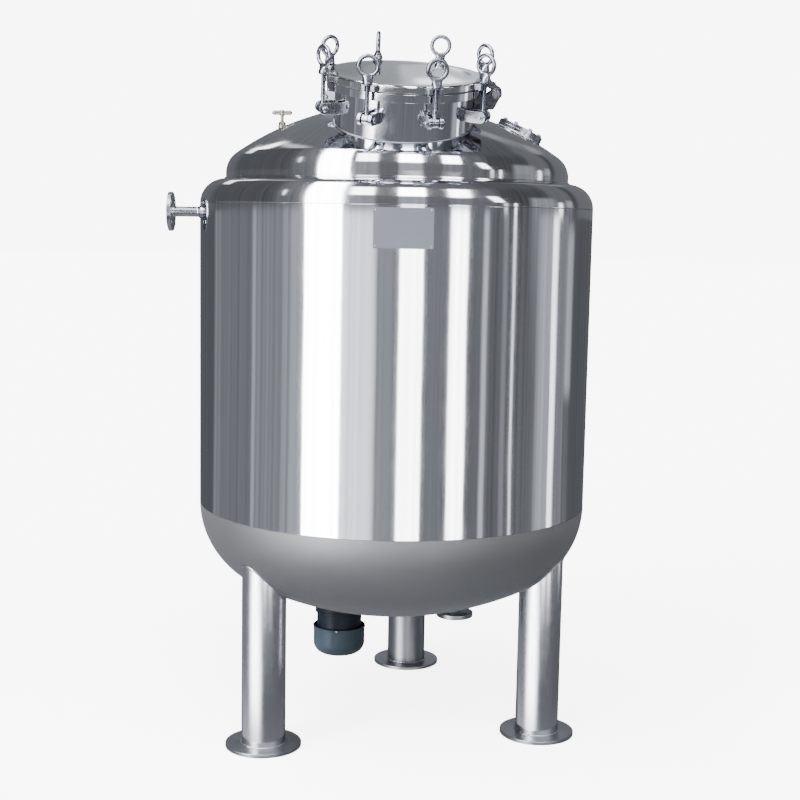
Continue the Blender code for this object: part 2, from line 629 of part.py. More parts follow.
def build_nameplate(tank, guides, steel):
    place = round_placement(PLATE_ANGLE, 0.0, PLATE_CENTRE_HEIGHT)
    back = PLATE_FRONT - PLATE_THICKNESS
    half = PLATE_HEIGHT / 2
    plate = slab("nameplate", [(back, -half), (PLATE_FRONT, -half), (PLATE_FRONT, half),
                               (back, half)], PLATE_WIDTH)
    add_object("nameplate", plate, steel, tank, place, smooth=False)
    inset = half - PLATE_OVERHANG
    inside = PLATE_CUT_RADIUS
    holder = slab("nameplate_holder", [(inside, -inset), (back - GAP, -inset), (back - GAP, inset),
                                       (inside, inset)], PLATE_WIDTH - 2 * PLATE_OVERHANG)
    item = add_object("nameplate_holder", holder, steel, tank, place, smooth=False)
    boolean(item, guides["jacket"], "DIFFERENCE")


def build_legs(tank, guides, steel):
    for name, degrees in LEG_ANGLES.items():
        angle = math.radians(degrees)
        place = Matrix.Translation((LEG_CIRCLE_RADIUS * math.cos(angle),
                                    LEG_CIRCLE_RADIUS * math.sin(angle), 0.0))
        foot = [(0, 0), (FOOT_RADIUS, 0), (FOOT_RADIUS, FOOT_THICKNESS), (0, FOOT_THICKNESS)]
        plate = turned(f"foot_plate_{name}", foot, MEDIUM_SEGMENTS)
        add_object(f"foot_plate_{name}", plate, steel, tank, place)
        start = FOOT_THICKNESS + GAP
        top = JACKET_BOTTOM
        tube = [(0, start), (LEG_RADIUS, start), (LEG_RADIUS, top), (0, top)]
        leg = add_object(f"leg_{name}", turned(f"leg_{name}", tube, MEDIUM_SEGMENTS), steel,
                         tank, place)
        boolean(leg, guides["dish"], "DIFFERENCE")


def build_homogenizer(tank, guides, steel, paint):
    place = Matrix.Translation((*MOTOR_AT, 0.0))
    flange_foot = HOUSING_FLANGE_TOP - HOUSING_FLANGE_THICKNESS
    housing = [(0, flange_foot), (HOUSING_FLANGE_RADIUS, flange_foot),
               (HOUSING_FLANGE_RADIUS, HOUSING_FLANGE_TOP), (HOUSING_RADIUS, HOUSING_FLANGE_TOP),
               (HOUSING_RADIUS, DISH_CUT_HEIGHT), (0, DISH_CUT_HEIGHT)]
    item = add_object("homogenizer_housing", turned("homogenizer_housing", housing, MEDIUM_SEGMENTS),
                      steel, tank, place)
    boolean(item, guides["dish"], "DIFFERENCE")

    frame_top = flange_foot - GAP
    lip_foot = frame_top - MOTOR_FRAME_LIP
    frame = [(0, MOTOR_FRAME_BOTTOM), (MOTOR_FRAME_RADIUS, MOTOR_FRAME_BOTTOM),
             (MOTOR_FRAME_RADIUS, lip_foot), (HOUSING_FLANGE_RADIUS, lip_foot),
             (HOUSING_FLANGE_RADIUS, frame_top), (0, frame_top)]
    add_object("motor_frame", turned("motor_frame", frame, MEDIUM_SEGMENTS), paint, tank, place)

    inside = COWL_RADIUS - COWL_WALL
    floor = MOTOR_FRAME_BOTTOM - GAP
    bottom_round = arc((COWL_RADIUS - COWL_ROUND, COWL_BOTTOM + COWL_ROUND), COWL_ROUND, -90, 0, 5)
    cowl = [(0, COWL_BOTTOM), *bottom_round, (COWL_RADIUS, COWL_TOP), (inside, COWL_TOP),
            (inside, floor), (0, floor)]
    add_object("motor_cowl", turned("motor_cowl", cowl, MEDIUM_SEGMENTS), paint, tank, place)


def build_outlet(tank, guides, dish, steel):
    place = Matrix.Translation((*OUTLET_AT, 0.0))
    foot = OUTLET_FLANGE_TOP - OUTLET_FLANGE_THICKNESS
    bore = [(0, foot), (OUTLET_BORE, foot), (OUTLET_BORE, DISH_CUT_HEIGHT), (0, DISH_CUT_HEIGHT)]
    boolean(dish, guide("outlet_bore", turned("outlet_bore", bore, MEDIUM_SEGMENTS), tank, place),
            "DIFFERENCE")
    pipe = [(OUTLET_BORE, OUTLET_FLANGE_TOP + GAP), (OUTLET_PIPE_RADIUS, OUTLET_FLANGE_TOP + GAP),
            (OUTLET_PIPE_RADIUS, DISH_CUT_HEIGHT), (OUTLET_BORE, DISH_CUT_HEIGHT)]
    item = add_object("outlet_pipe", turned("outlet_pipe", pipe, MEDIUM_SEGMENTS, True), steel,
                      tank, place)
    boolean(item, guides["dish"], "DIFFERENCE")
    flange = [(OUTLET_BORE, foot), (OUTLET_FLANGE_RADIUS, foot),
              (OUTLET_FLANGE_RADIUS, OUTLET_FLANGE_TOP), (OUTLET_BORE, OUTLET_FLANGE_TOP)]
    add_object("outlet_flange", turned("outlet_flange", flange, MEDIUM_SEGMENTS, True), steel,
               tank, place)


def main():
    clear_scene()
    polished = make_material("polished_steel", (0.72, 0.73, 0.75), 0.08, 1.0)
    satin = make_material("satin_steel", (0.62, 0.63, 0.64), 0.30, 1.0)
    matt = make_material("matt_steel", (0.36, 0.36, 0.37), 0.50, 1.0)
    dark = make_material("cast_hinge_steel", (0.22, 0.22, 0.24), 0.35, 1.0)
    rubber = make_material("white_seal_rubber", (0.75, 0.74, 0.70), 0.60, 0.0)
    glass = make_material("toughened_glass", (0.55, 0.62, 0.62), 0.05, 0.0)
    brass = make_material("vent_brass", (0.50, 0.42, 0.28), 0.30, 1.0)
    paint = make_material("motor_paint", (0.05, 0.10, 0.13), 0.40, 0.0)

    tank = add_empty("tank_axis", None, Matrix.Translation((AXIS_X, AXIS_Y, 0.0)))
    guides = build_guides(tank)
    dome, dish = build_shell(tank, polished, matt)
    manhole = manhole_frame(tank)
    build_neck(manhole, guides, dome, polished)
    build_lid(manhole, polished, rubber)
    build_swing_bolts(manhole, polished)
    build_hinge(manhole, dark)
    build_sight_glass(tank, guides, dome, polished, glass)
    build_vent(tank, guides, brass)
    build_side_nozzle(tank, guides, polished)
    build_nameplate(tank, guides, satin)
    build_legs(tank, guides, polished)
    build_homogenizer(tank, guides, satin, paint)
    build_outlet(tank, guides, dish, satin)
    bpy.context.view_layer.update()


main()
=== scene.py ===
"""Looks of the homogenizer mixing tank: fine pieces, materials, studio light and camera.

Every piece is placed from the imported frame. Metres, +Z up, floor at z = 0.
"""

import json
import math

import bmesh
import bpy
from mathutils import Matrix, Vector, noise


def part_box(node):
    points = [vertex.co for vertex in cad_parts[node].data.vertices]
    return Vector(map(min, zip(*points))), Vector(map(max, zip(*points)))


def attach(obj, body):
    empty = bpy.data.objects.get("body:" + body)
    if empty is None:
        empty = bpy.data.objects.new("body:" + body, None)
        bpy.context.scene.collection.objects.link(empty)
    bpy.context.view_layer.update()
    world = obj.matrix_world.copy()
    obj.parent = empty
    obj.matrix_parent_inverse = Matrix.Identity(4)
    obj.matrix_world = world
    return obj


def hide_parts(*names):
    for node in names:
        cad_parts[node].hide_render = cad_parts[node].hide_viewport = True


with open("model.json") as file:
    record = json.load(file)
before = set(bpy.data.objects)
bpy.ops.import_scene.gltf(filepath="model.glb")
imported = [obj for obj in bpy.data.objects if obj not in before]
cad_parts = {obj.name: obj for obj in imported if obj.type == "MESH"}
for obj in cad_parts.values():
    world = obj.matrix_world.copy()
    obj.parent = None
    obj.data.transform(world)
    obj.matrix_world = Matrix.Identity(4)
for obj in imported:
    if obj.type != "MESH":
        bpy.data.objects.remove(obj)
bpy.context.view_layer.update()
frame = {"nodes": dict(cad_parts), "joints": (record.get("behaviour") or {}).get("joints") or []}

# Steps round a turned piece
SHELL_STEPS = 256
TUBE_STEPS = 96
SMALL_STEPS = 40
SCREW_STEPS = 24

# Edges that bend more than these are sharp, and bevelled on a prism
SHARP_ANGLE = math.radians(35)
BEVEL_ANGLE = math.radians(40)

# Gap between two pieces that touch
SEAT_GAP = 0.0003

# Heads and shell of the vessel, as in the frame
DOME_KNUCKLE_START = 1.835
DOME_KNUCKLE = 0.081
DOME_CROWN = 0.922
DOME_WALL = 0.006
DISH_KNUCKLE = 0.285
DISH_CROWN = 1.082
DISH_WALL = 0.008
SHOULDER_ROUND = 0.080
SHELL_EDGE = 0.0012
JACKET_WAVE = 0.00022
DOME_WAVE = 0.00025

# Manhole
NECK_RADIUS = 0.215
NECK_WALL = 0.006
NECK_DEPTH = 0.26
NECK_FLANGE = 0.024
LID_EDGE_RADIUS = 0.240
LID_CROWN = 0.008
LID_THICKNESS = 0.022
LID_FLAT_RIM = 0.030
LID_RIM_FILLET = 0.006
GASKET_THICKNESS = 0.004
LUG_SLOT_WIDTH = 0.018
LUG_HORN_WIDTH = 0.016
LUG_TOP_DROP = 0.004

# Swing bolts, each in a frame at its pivot: X outward, Z up along the neck
BOLT_RADIUS = 0.007
BOLT_EYE_RADIUS = 0.014
BOLT_EYE_BORE = 0.0064
BOLT_EYE_WIDTH = 0.022
BOLT_END_RISE = 0.0175
THREAD_START = 0.040
THREAD_PITCH = 0.002
THREAD_DEPTH = 0.0009
PIN_RADIUS = 0.006
PIN_LENGTH = 0.064
PIN_HEAD_RADIUS = 0.0085
CHEEK_THICKNESS = 0.012
CHEEK_HALF_HEIGHT = 0.018
CHEEK_SIDE = BOLT_EYE_WIDTH / 2 + 0.001 + CHEEK_THICKNESS / 2
NUT_SEAT_GAP = 0.0012
NUT_COLLAR_RADIUS = 0.0160
RING_RADIUS = 0.0285
RING_BAR_RADIUS = 0.0065
RING_CENTRE_HEIGHT = 0.154
NUT_VOXEL = 0.0014

# Welds
WELD_PITCH = 0.004
WELD_SIDES = 8
FINE_BEAD = 0.0022
PIPE_BEAD = 0.0024
WIDE_BEAD = 0.0035
SEAM_BEAD = 0.0045

# Bolt holes of the pipe flanges
FLANGE_HOLE_RADIUS = 0.007


# Shapes

def arc(centre, radius, start, end, steps):
    """Points on an arc, angles in degrees from the first axis."""
    angles = [math.radians(start + (end - start) * step / steps) for step in range(steps + 1)]
    return [(centre[0] + radius * math.cos(a), centre[1] + radius * math.sin(a)) for a in angles]


def circle(radius, steps, first=0.0):
    """Even points round a circle, from the first axis on or from some steps past it."""
    start = 360 * first / steps
    return arc((0, 0), radius, start, start + 360, steps)[:-1]


def rounded(corners, steps=4, loop=True):
    """Points of an outline whose corners are (x, y, fillet radius)."""
    points = []
    count = len(corners)
    for index, (x, y, radius) in enumerate(corners):
        at_end = not loop and index in (0, count - 1)
        if radius == 0 or at_end:
            points.append((x, y))
            continue
        here = Vector((x, y))
        before = (Vector(corners[index - 1][:2]) - here).normalized()
        after = (Vector(corners[(index + 1) % count][:2]) - here).normalized()
        half = before.angle(after) / 2
        centre = here + (before + after).normalized() * (radius / math.sin(half))
        start = here + before * (radius / math.tan(half)) - centre
        end = here + after * (radius / math.tan(half)) - centre
        turn = start.angle_signed(end)
        for step in range(steps + 1):
            point = centre + Matrix.Rotation(-turn * step / steps, 2) @ start
            points.append((point.x, point.y))
    return points


def ring_section(inner, outer, low, high, low_in=0, low_out=0, high_out=0, high_in=0):
    """Section of a ring, with a fillet at each corner."""
    return rounded([(inner, low, low_in), (outer, low, low_out), (outer, high, high_out),
                    (inner, high, high_in)])


def disc_section(radius, low, high, low_fillet=0, high_fillet=0, steps=3):
    """Section of a disc from pole to pole."""
    return rounded([(0, low, 0), (radius, low, low_fillet), (radius, high, high_fillet), (0, high, 0)],
                   steps, False)


def divided(profile, longest):
    """The same profile with its long spans split, so that waves can bend them."""
    points = [profile[0]]
    for before, after in zip(profile[:-1], profile[1:]):
        count = max(1, math.ceil(math.dist(before, after) / longest))
        for step in range(1, count + 1):
            share = step / count
            points.append(tuple(a + (b - a) * share for a, b in zip(before, after)))
    return points


def finished(bm):
    """A mesh with its faces pointing out, smooth but for sharp edges where the surface breaks."""
    bmesh.ops.recalc_face_normals(bm, faces=bm.faces)
    mesh = bpy.data.meshes.new("part")
    bm.to_mesh(mesh)
    bm.free()
    mesh.shade_smooth()
    mesh.set_sharp_from_angle(angle=SHARP_ANGLE)
    return mesh


def joined(meshes):
    """One mesh from several."""
    bm = bmesh.new()
    for mesh in meshes:
        bm.from_mesh(mesh)
    return finished(bm)


def skinned(sections, loop=False, capped=False):
    """Faces between rings of points. A ring of one point is a pole."""
    rings = []
    count = 0
    for section in sections:
        rings.append(range(count, count + len(section)))
        count += len(section)
    pairs = list(zip(rings[:-1], rings[1:]))
    if loop:
        pairs.append((rings[-1], rings[0]))
    faces = [tuple(rings[0]), tuple(rings[-1])] if capped else []
    for low, high in pairs:
        steps = max(len(low), len(high))
        for step in range(steps):
            after = (step + 1) % steps
            if len(low) == 1:
                faces.append((low[0], high[after], high[step]))
            elif len(high) == 1:
                faces.append((low[step], low[after], high[0]))
            else:
                faces.append((low[step], low[after], high[after], high[step]))
    mesh = bpy.data.meshes.new("skin")
    mesh.from_pydata([point for section in sections for point in section], [], faces)
    return joined([mesh])


def turned(profile, steps=SMALL_STEPS, loop=False):
    """Spin (radius, height) points about Z: from pole to pole, or a ring from a closed loop."""
    sections = []
    for radius, height in profile:
        around = circle(radius, steps) if radius else [(0, 0)]
        sections.append([(x, y, height) for x, y in around])
    return skinned(sections, loop)


def swept(path, radii, loop=True, up=(0, 0, 1)):
    """A round bar along a path, with a radius at each of its points."""
    last = len(path) - 1
    sections = []
    for index, point in enumerate(path):
        before = path[index - 1] if loop else path[max(index - 1, 0)]
        after = path[(index + 1) % len(path)] if loop else path[min(index + 1, last)]
        along = (after - before).normalized()
        side = along.cross(Vector(up)).normalized()
        top = side.cross(along)
        sections.append([point + side * x + top * y for x, y in circle(radii[index], WELD_SIDES)])
    return skinned(sections, loop, not loop)


def prism(outline, depth, bevel=0.0, holes=()):
    """Extrude an outline from z = 0 to depth, with round holes of (x, y, radius) cut through it."""
    bm = bmesh.new()
    loops = [outline]
    for x, y, radius in holes:
        loops.append(arc((x, y), radius, 0, 360, SCREW_STEPS)[:-1])
    for loop in loops:
        verts = [bm.verts.new((x, y, 0.0)) for x, y in loop]
        for index, vert in enumerate(verts):
            bm.edges.new((vert, verts[(index + 1) % len(verts)]))
    if holes:
        bmesh.ops.triangle_fill(bm, edges=bm.edges[:], use_beauty=True, use_dissolve=False)
    else:
        bm.faces.new(bm.verts[:])
    made = bmesh.ops.extrude_face_region(bm, geom=bm.faces[:])
    raised = [item for item in made["geom"] if isinstance(item, bmesh.types.BMVert)]
    bmesh.ops.translate(bm, verts=raised, vec=(0, 0, depth))
    bmesh.ops.recalc_face_normals(bm, faces=bm.faces)
    if bevel:
        edges = [edge for edge in bm.edges if edge.calc_face_angle(0) > BEVEL_ANGLE]
        bmesh.ops.bevel(bm, geom=edges, offset=bevel, segments=3, profile=0.5, affect="EDGES",
                        clamp_overlap=True)
    return finished(bm)


def shift(x, y, z):
    return Matrix.Translation((x, y, z))


def spin(angle, axis="Z"):
    return Matrix.Rotation(angle, 4, axis)


def moved(mesh, place):
    copy = mesh.copy()
    copy.transform(place)
    return copy


def shown(name, data):
    item = bpy.data.objects.new(name, data)
    bpy.context.scene.collection.objects.link(item)
    return item


def spaced(path, gap, loop=True):
    """The same path with points at even gaps."""
    ends = path + [path[0]] if loop else path
    lengths = [0.0]
    for before, after in zip(ends[:-1], ends[1:]):
        lengths.append(lengths[-1] + (after - before).length)
    count = max(8, round(lengths[-1] / gap))
    points = []
    index = 0
    for step in range(count if loop else count + 1):
        wanted = lengths[-1] * step / count
        while index < len(ends) - 2 and lengths[index + 1] < wanted:
            index += 1
        span = lengths[index + 1] - lengths[index]
        points.append(ends[index].lerp(ends[index + 1], (wanted - lengths[index]) / span))
    return points


def bead(path, radius, loop=True, ripple=0.22):
    """A weld bead whose overlapping ripples are a few millimetres apart."""
    steps = 4
    points = spaced(path, WELD_PITCH / steps, loop)
    radii = [radius * (1 + ripple * (abs(math.sin(math.pi * index / steps)) - 0.6))
             for index in range(len(points))]
    return swept(points, radii, loop)


def wavy(mesh, height, scale):
    """Move the surface of a turned shell in and out a little, as rolled sheet does."""
    for vert in mesh.vertices:
        outward = Vector((vert.co.x, vert.co.y, 0.0))
        if outward.length > 1e-4:
            vert.co += outward.normalized() * height * noise.noise(vert.co * scale)
    mesh.update()
    return mesh


# Places, worked out from the frame

def corners_of(node):
    return [vert.co.copy() for vert in frame["nodes"][node].data.vertices]


def local_box(node, place):
    """Lowest and highest corner of a node in another frame."""
    back = place.inverted()
    points = [back @ point for point in corners_of(node)]
    return (Vector([min(point[k] for point in points) for k in range(3)]),
            Vector([max(point[k] for point in points) for k in range(3)]))


def centroid(node):
    points = corners_of(node)
    return sum(points, Vector()) / len(points)


def upright(node):
    """Axis, radius and heights of a node that stands round a vertical axis."""
    low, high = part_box(node)
    middle = (low + high) / 2
    return middle.x, middle.y, (high.x - low.x) / 2, low.z, high.z


def joint_of(body):
    return next(joint for joint in frame["joints"] if joint["child"] == body)


def angle_in(place, point):
    """How far round the Z axis of a frame a point lies, and the point in that frame."""
    spot = place.inverted() @ point
    return math.atan2(spot.y, spot.x), spot


def manhole_place():
    """The frame at the centre of the lid's top edge, and each bolt's frame at its pivot."""
    joints = [joint_of(f"bolt_{number}") for number in range(1, 9)]
    pivots = [Vector(joint["pos_m"]) for joint in joints]
    centre = sum(pivots, Vector()) / len(pivots)
    up = Vector()
    for pivot, joint in zip(pivots, joints):
        up += (pivot - centre).cross(Vector(joint["axis"])).normalized()
    up.normalize()
    if up.z < 0:
        up.negate()
    across = (Vector((1, 0, 0)) - up * up.x).normalized()
    turn = Matrix((across, up.cross(across), up)).transposed().to_4x4()
    at_pivots = Matrix.Translation(centre) @ turn
    edge = local_box("manhole_lid", at_pivots)[1].z - LID_CROWN
    place = at_pivots @ shift(0, 0, edge)
    bolts = []
    for pivot in pivots:
        angle, spot = angle_in(place, pivot)
        bolts.append(place @ spin(angle) @ shift(math.hypot(spot.x, spot.y), 0, spot.z))
    return place, bolts


AXIS_X, AXIS_Y, JACKET_RADIUS, JACKET_BOTTOM, JACKET_TOP = upright("jacket_wall")
DOME_RADIUS = upright("top_dome")[2]
TANK = shift(AXIS_X, AXIS_Y, 0)
MANHOLE, BOLTS = manhole_place()
PIVOT = MANHOLE.inverted() @ BOLTS[0].translation
PIVOT_DROP = -PIVOT.z
BOLT_CIRCLE = PIVOT.xy.length
LAY_ALONG_Y = spin(math.pi / 2, "X")


def along_y(mesh, thickness=0.0):
    """Lay a mesh with its Z axis along Y. A prism of that thickness lies halfway on each side."""
    return moved(mesh, LAY_ALONG_Y @ shift(0, 0, -thickness / 2))


def head_curve(radius, knuckle, crown, knuckle_steps, crown_steps):
    """Torispherical head: (radius, height) from the rim (height 0) to the pole."""
    turn = math.asin((radius - knuckle) / (crown - knuckle))
    points = []
    for step in range(knuckle_steps + 1):
        a = (math.pi / 2 - turn) * step / knuckle_steps
        points.append((radius - knuckle + knuckle * math.cos(a), knuckle * math.sin(a)))
    sphere_centre = points[-1][1] - crown * math.cos(turn)
    for step in range(1, crown_steps + 1):
        a = turn * (1 - step / crown_steps)
        points.append((crown * math.sin(a), sphere_centre + crown * math.cos(a)))
    points[-1] = (0.0, points[-1][1])
    return points


def head_sheet(radius, knuckle, crown, wall, outside_steps, inside_steps):
    """Outside of such a head from the pole to the rim, and its inside from the rim to the pole."""
    outside = head_curve(radius, knuckle, crown, *outside_steps)
    return outside[::-1], head_curve(radius - wall, knuckle - wall, crown - wall, *inside_steps)


def head_height(x, y, radius, knuckle, crown):
    """Height of such a head over its rim, at a point of the shared frame."""
    out = min(math.hypot(x - AXIS_X, y - AXIS_Y), radius)
    turn = math.asin((radius - knuckle) / (crown - knuckle))
    if out > crown * math.sin(turn):
        return math.sqrt(max(0.0, knuckle ** 2 - (out - radius + knuckle) ** 2))
    rise = knuckle * math.cos(turn) - crown * math.cos(turn)
    return rise + math.sqrt(crown ** 2 - out ** 2)


def dome_height(x, y):
    return DOME_KNUCKLE_START + head_height(x, y, DOME_RADIUS, DOME_KNUCKLE, DOME_CROWN)


def dish_height(x, y):
    return JACKET_BOTTOM - head_height(x, y, JACKET_RADIUS, DISH_KNUCKLE, DISH_CROWN)


def seam_on_head(place, radius, height, steps=180):
    """Where a round pipe that stands in a frame meets a head, as seen in the tank's frame."""
    reach = 0.5
    halvings = 40
    points = []
    for x, y in circle(radius, steps):
        low, high = -reach, reach
        for _ in range(halvings):
            middle = (low + high) / 2
            point = place @ Vector((x, y, middle))
            if point.z > height(point.x, point.y):
                high = middle
            else:
                low = middle
        points.append(TANK.inverted() @ point)
    return points


# Materials

def add_node(tree, kind, settings=None, **inputs):
    """A node with its settings and inputs. An input is a value or another node's output."""
    made = tree.nodes.new(kind)
    for key, value in (settings or {}).items():
        setattr(made, key, value)
    for key, value in inputs.items():
        socket = made.inputs[int(key[1:])] if key[0] == "_" else made.inputs[key.replace("_", " ")]
        if isinstance(value, bpy.types.NodeSocket):
            tree.links.new(value, socket)
        else:
            socket.default_value = value
    return made


def calculate(tree, operation, first, second=0.0):
    return add_node(tree, "ShaderNodeMath", {"operation": operation}, _0=first, _1=second).outputs[0]


def ranged(tree, value, low, high, to_low, to_high, kind="LINEAR"):
    return add_node(tree, "ShaderNodeMapRange", {"interpolation_type": kind}, Value=value, From_Min=low,
                    From_Max=high, To_Min=to_low, To_Max=to_high).outputs["Result"]


def object_noise(tree, scale, stretch=(1, 1, 1), detail=3.0, rough=0.5):
    """Noise over the piece in metres, stretched along the axes."""
    place = add_node(tree, "ShaderNodeTexCoord").outputs["Object"]
    spread = add_node(tree, "ShaderNodeMapping", Vector=place, Scale=stretch).outputs[0]
    return add_node(tree, "ShaderNodeTexNoise", Vector=spread, Scale=scale, Detail=detail,
                    Roughness=rough).outputs["Fac"]


def blended(tree, share, first, second):
    return add_node(tree, "ShaderNodeMix", {"data_type": "RGBA"}, _0=share, _6=(*first, 1),
                    _7=(*second, 1)).outputs[2]


def bumped(tree, height, distance, before=None):
    made = add_node(tree, "ShaderNodeBump", Height=height, Distance=distance, Strength=1.0)
    if before:
        tree.links.new(before, made.inputs["Normal"])
    return made.outputs["Normal"]


def new_material(name, **values):
    material = bpy.data.materials.new(name)
    material.use_nodes = True
    shader = material.node_tree.nodes["Principled BSDF"]
    for key, value in values.items():
        shader.inputs[key.replace("_", " ")].default_value = value
    return material, material.node_tree, shader


def steel(name, light, dark, smooth, rough, smudge_scale=5.0, grain=None, grain_depth=0.00002,
          wave_depth=0.0, anisotropic=0.0):
    """Stainless steel: smudges change its roughness and tone, and a fine grain is left by polishing.

    smooth and rough are the limits of its roughness. grain is a scale and a stretch.
    """
    material, tree, shader = new_material(name, Metallic=1.0)
    smudge = object_noise(tree, smudge_scale, detail=5.0, rough=0.6)
    tree.links.new(ranged(tree, smudge, 0.35, 0.7, smooth, rough), shader.inputs["Roughness"])
    tone = object_noise(tree, smudge_scale * 0.4, detail=2.0)
    tree.links.new(blended(tree, tone, dark, light), shader.inputs["Base Color"])
    normal = None
    if wave_depth:
        normal = bumped(tree, object_noise(tree, 3.5, (1, 1, 0.35), detail=1.0), wave_depth)
    if grain:
        normal = bumped(tree, object_noise(tree, *grain, detail=2.0), grain_depth, normal)
    if normal:
        tree.links.new(normal, shader.inputs["Normal"])
    if anisotropic:
        shader.inputs["Anisotropic"].default_value = anisotropic
        round_it = add_node(tree, "ShaderNodeTangent", {"direction_type": "RADIAL", "axis": "Z"})
        tree.links.new(round_it.outputs[0], shader.inputs["Tangent"])
    return material


def painted(name, colour, worn, rough, coat=0.0):
    """Enamel with orange peel and faint dull patches."""
    material, tree, shader = new_material(name, Metallic=0.0, Coat_Weight=coat, Coat_Roughness=0.12,
                                          Specular_IOR_Level=0.2)
    patch = object_noise(tree, 18.0, detail=4.0)
    tree.links.new(blended(tree, ranged(tree, patch, 0.45, 0.75, 0, 1), colour, worn),
                   shader.inputs["Base Color"])
    tree.links.new(ranged(tree, patch, 0.3, 0.7, rough, rough + 0.15), shader.inputs["Roughness"])
    tree.links.new(bumped(tree, object_noise(tree, 260.0, detail=1.0), 0.00012), shader.inputs["Normal"])
    return material


def glass():
    """Clear glass with faint greasy marks."""
    material, tree, shader = new_material("sight_glass", Base_Color=(0.86, 0.94, 0.93, 1), IOR=1.5,
                                          Transmission_Weight=1.0)
    marks = object_noise(tree, 40.0, detail=4.0)
    tree.links.new(ranged(tree, marks, 0.5, 0.8, 0.01, 0.10), shader.inputs["Roughness"])
    return material


ROUND_GRAIN = (1, 1, 1)
LOOK = {
    "jacket": steel("jacket_polish", (0.74, 0.75, 0.78), (0.68, 0.69, 0.72), 0.045, 0.075,
                    wave_depth=0.0003, anisotropic=0.5),
    "mirror": steel("mirror_polish", (0.74, 0.75, 0.77), (0.64, 0.65, 0.68), 0.05, 0.11, 9.0,
                    wave_depth=0.0005),
    "neck": steel("neck_polish", (0.70, 0.71, 0.74), (0.56, 0.57, 0.61), 0.06, 0.12, 14.0,
                  wave_depth=0.0004),
    "lid": steel("lid_polish", (0.72, 0.75, 0.74), (0.60, 0.64, 0.63), 0.06, 0.13, 22.0,
                 wave_depth=0.0012),
    "fitting": steel("polished_fittings", (0.46, 0.47, 0.51), (0.26, 0.27, 0.31), 0.20, 0.34, 18.0),
    "clamp": steel("clamp_steel", (0.30, 0.31, 0.35), (0.17, 0.18, 0.22), 0.22, 0.34, 18.0),
    "leg": steel("leg_polish", (0.73, 0.74, 0.77), (0.62, 0.63, 0.67), 0.16, 0.20, 8.0,
                 wave_depth=0.0002, anisotropic=0.9),
    # darker, rougher steel: a dull finish on the welds and the outlet, and painted shade where the back leg
    # and the foot discs take it
    "dull_and_shade": steel("dull_steel_and_painted_shade", (0.24, 0.25, 0.27), (0.18, 0.19, 0.21), 0.36, 0.42, 10.0),
    "satin": steel("satin_sheet", (0.205, 0.22, 0.25), (0.175, 0.19, 0.215), 0.42, 0.55, 14.0,
                   (160.0, (0.05, 1, 1)), 0.00006),
    "blasted": steel("blasted_steel", (0.27, 0.272, 0.285), (0.24, 0.242, 0.255), 0.56, 0.64, 3.0,
                     (900.0, ROUND_GRAIN), 0.00012),
    "weld": steel("weld_bead", (0.50, 0.50, 0.53), (0.26, 0.26, 0.28), 0.24, 0.42, 40.0,
                  (300.0, ROUND_GRAIN), 0.0001),
    "cast": steel("dark_casting", (0.13, 0.13, 0.145), (0.05, 0.053, 0.06), 0.30, 0.55, 70.0,
                  (150.0, ROUND_GRAIN), 0.0008),
    "brass": steel("worn_brass", (0.30, 0.275, 0.22), (0.12, 0.11, 0.09), 0.30, 0.5, 90.0,
                   (300.0, ROUND_GRAIN), 0.00010),
    "cowl": painted("teal_enamel", (0.044, 0.066, 0.086), (0.052, 0.074, 0.092), 0.40, 0.03),
    "frame": painted("dark_enamel", (0.006, 0.011, 0.020), (0.010, 0.016, 0.026), 0.42),
    "seal": painted("grey_seal", (0.10, 0.10, 0.105), (0.15, 0.15, 0.15), 0.50),
    # near-black: painted shade of the tank's unlit inside, seen through the sight glass
    "inside_shade": painted("painted_inside_shade", (0.02, 0.022, 0.025), (0.03, 0.032, 0.035), 0.5),
    "glass": glass(),
}


def piece(name, mesh, look, nodes=(), place=Matrix.Identity(4), body="tank"):
    """Show a mesh as a piece that moves with a body and stands for the frame's nodes."""
    item = shown(name, mesh)
    if not mesh.materials:
        mesh.name = name
        mesh.materials.append(LOOK[look])
    item.matrix_world = place
    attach(item, body)
    if nodes:
        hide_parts(*nodes)
    flatter = item.modifiers.new("flat_faces_stay_flat", "WEIGHTED_NORMAL")
    flatter.keep_sharp = True


def weld(name, path, radius, place=TANK, look="weld", ripple=0.22):
    piece(name, bead(path, radius, ripple=ripple), look, (), place)


# Vessel

def build_jacket():
    section = ring_section(DOME_RADIUS - DOME_WALL, JACKET_RADIUS, JACKET_BOTTOM, JACKET_TOP,
                           low_out=SHELL_EDGE, high_out=SHELL_EDGE)
    mesh = wavy(turned(divided(section, 0.045), SHELL_STEPS, True), JACKET_WAVE, 5.0)
    piece("jacket_sheet", mesh, "jacket", ["jacket_wall"], TANK)


def build_shoulder():
    low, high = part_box("jacket_shoulder")
    bore = DOME_RADIUS + SEAT_GAP
    edge = SHELL_EDGE
    profile = [(bore, low.z), (JACKET_RADIUS - edge, low.z),
               *arc((JACKET_RADIUS - edge, low.z + edge), edge, -60, 0, 2),
               *arc((JACKET_RADIUS - SHOULDER_ROUND, low.z), SHOULDER_ROUND, 3, 90, 30),
               (bore, high.z)]
    mesh = wavy(turned(profile, SHELL_STEPS, True), JACKET_WAVE, 5.0)
    piece("rolled_shoulder", mesh, "mirror", ["jacket_shoulder"], TANK)
    ground_bead = arc((DOME_RADIUS + 0.0015, high.z + 0.0005), SEAM_BEAD, 0, 360, 10)[:-1]
    piece("shoulder_weld", turned(ground_bead, SHELL_STEPS, True), "mirror", (), TANK)


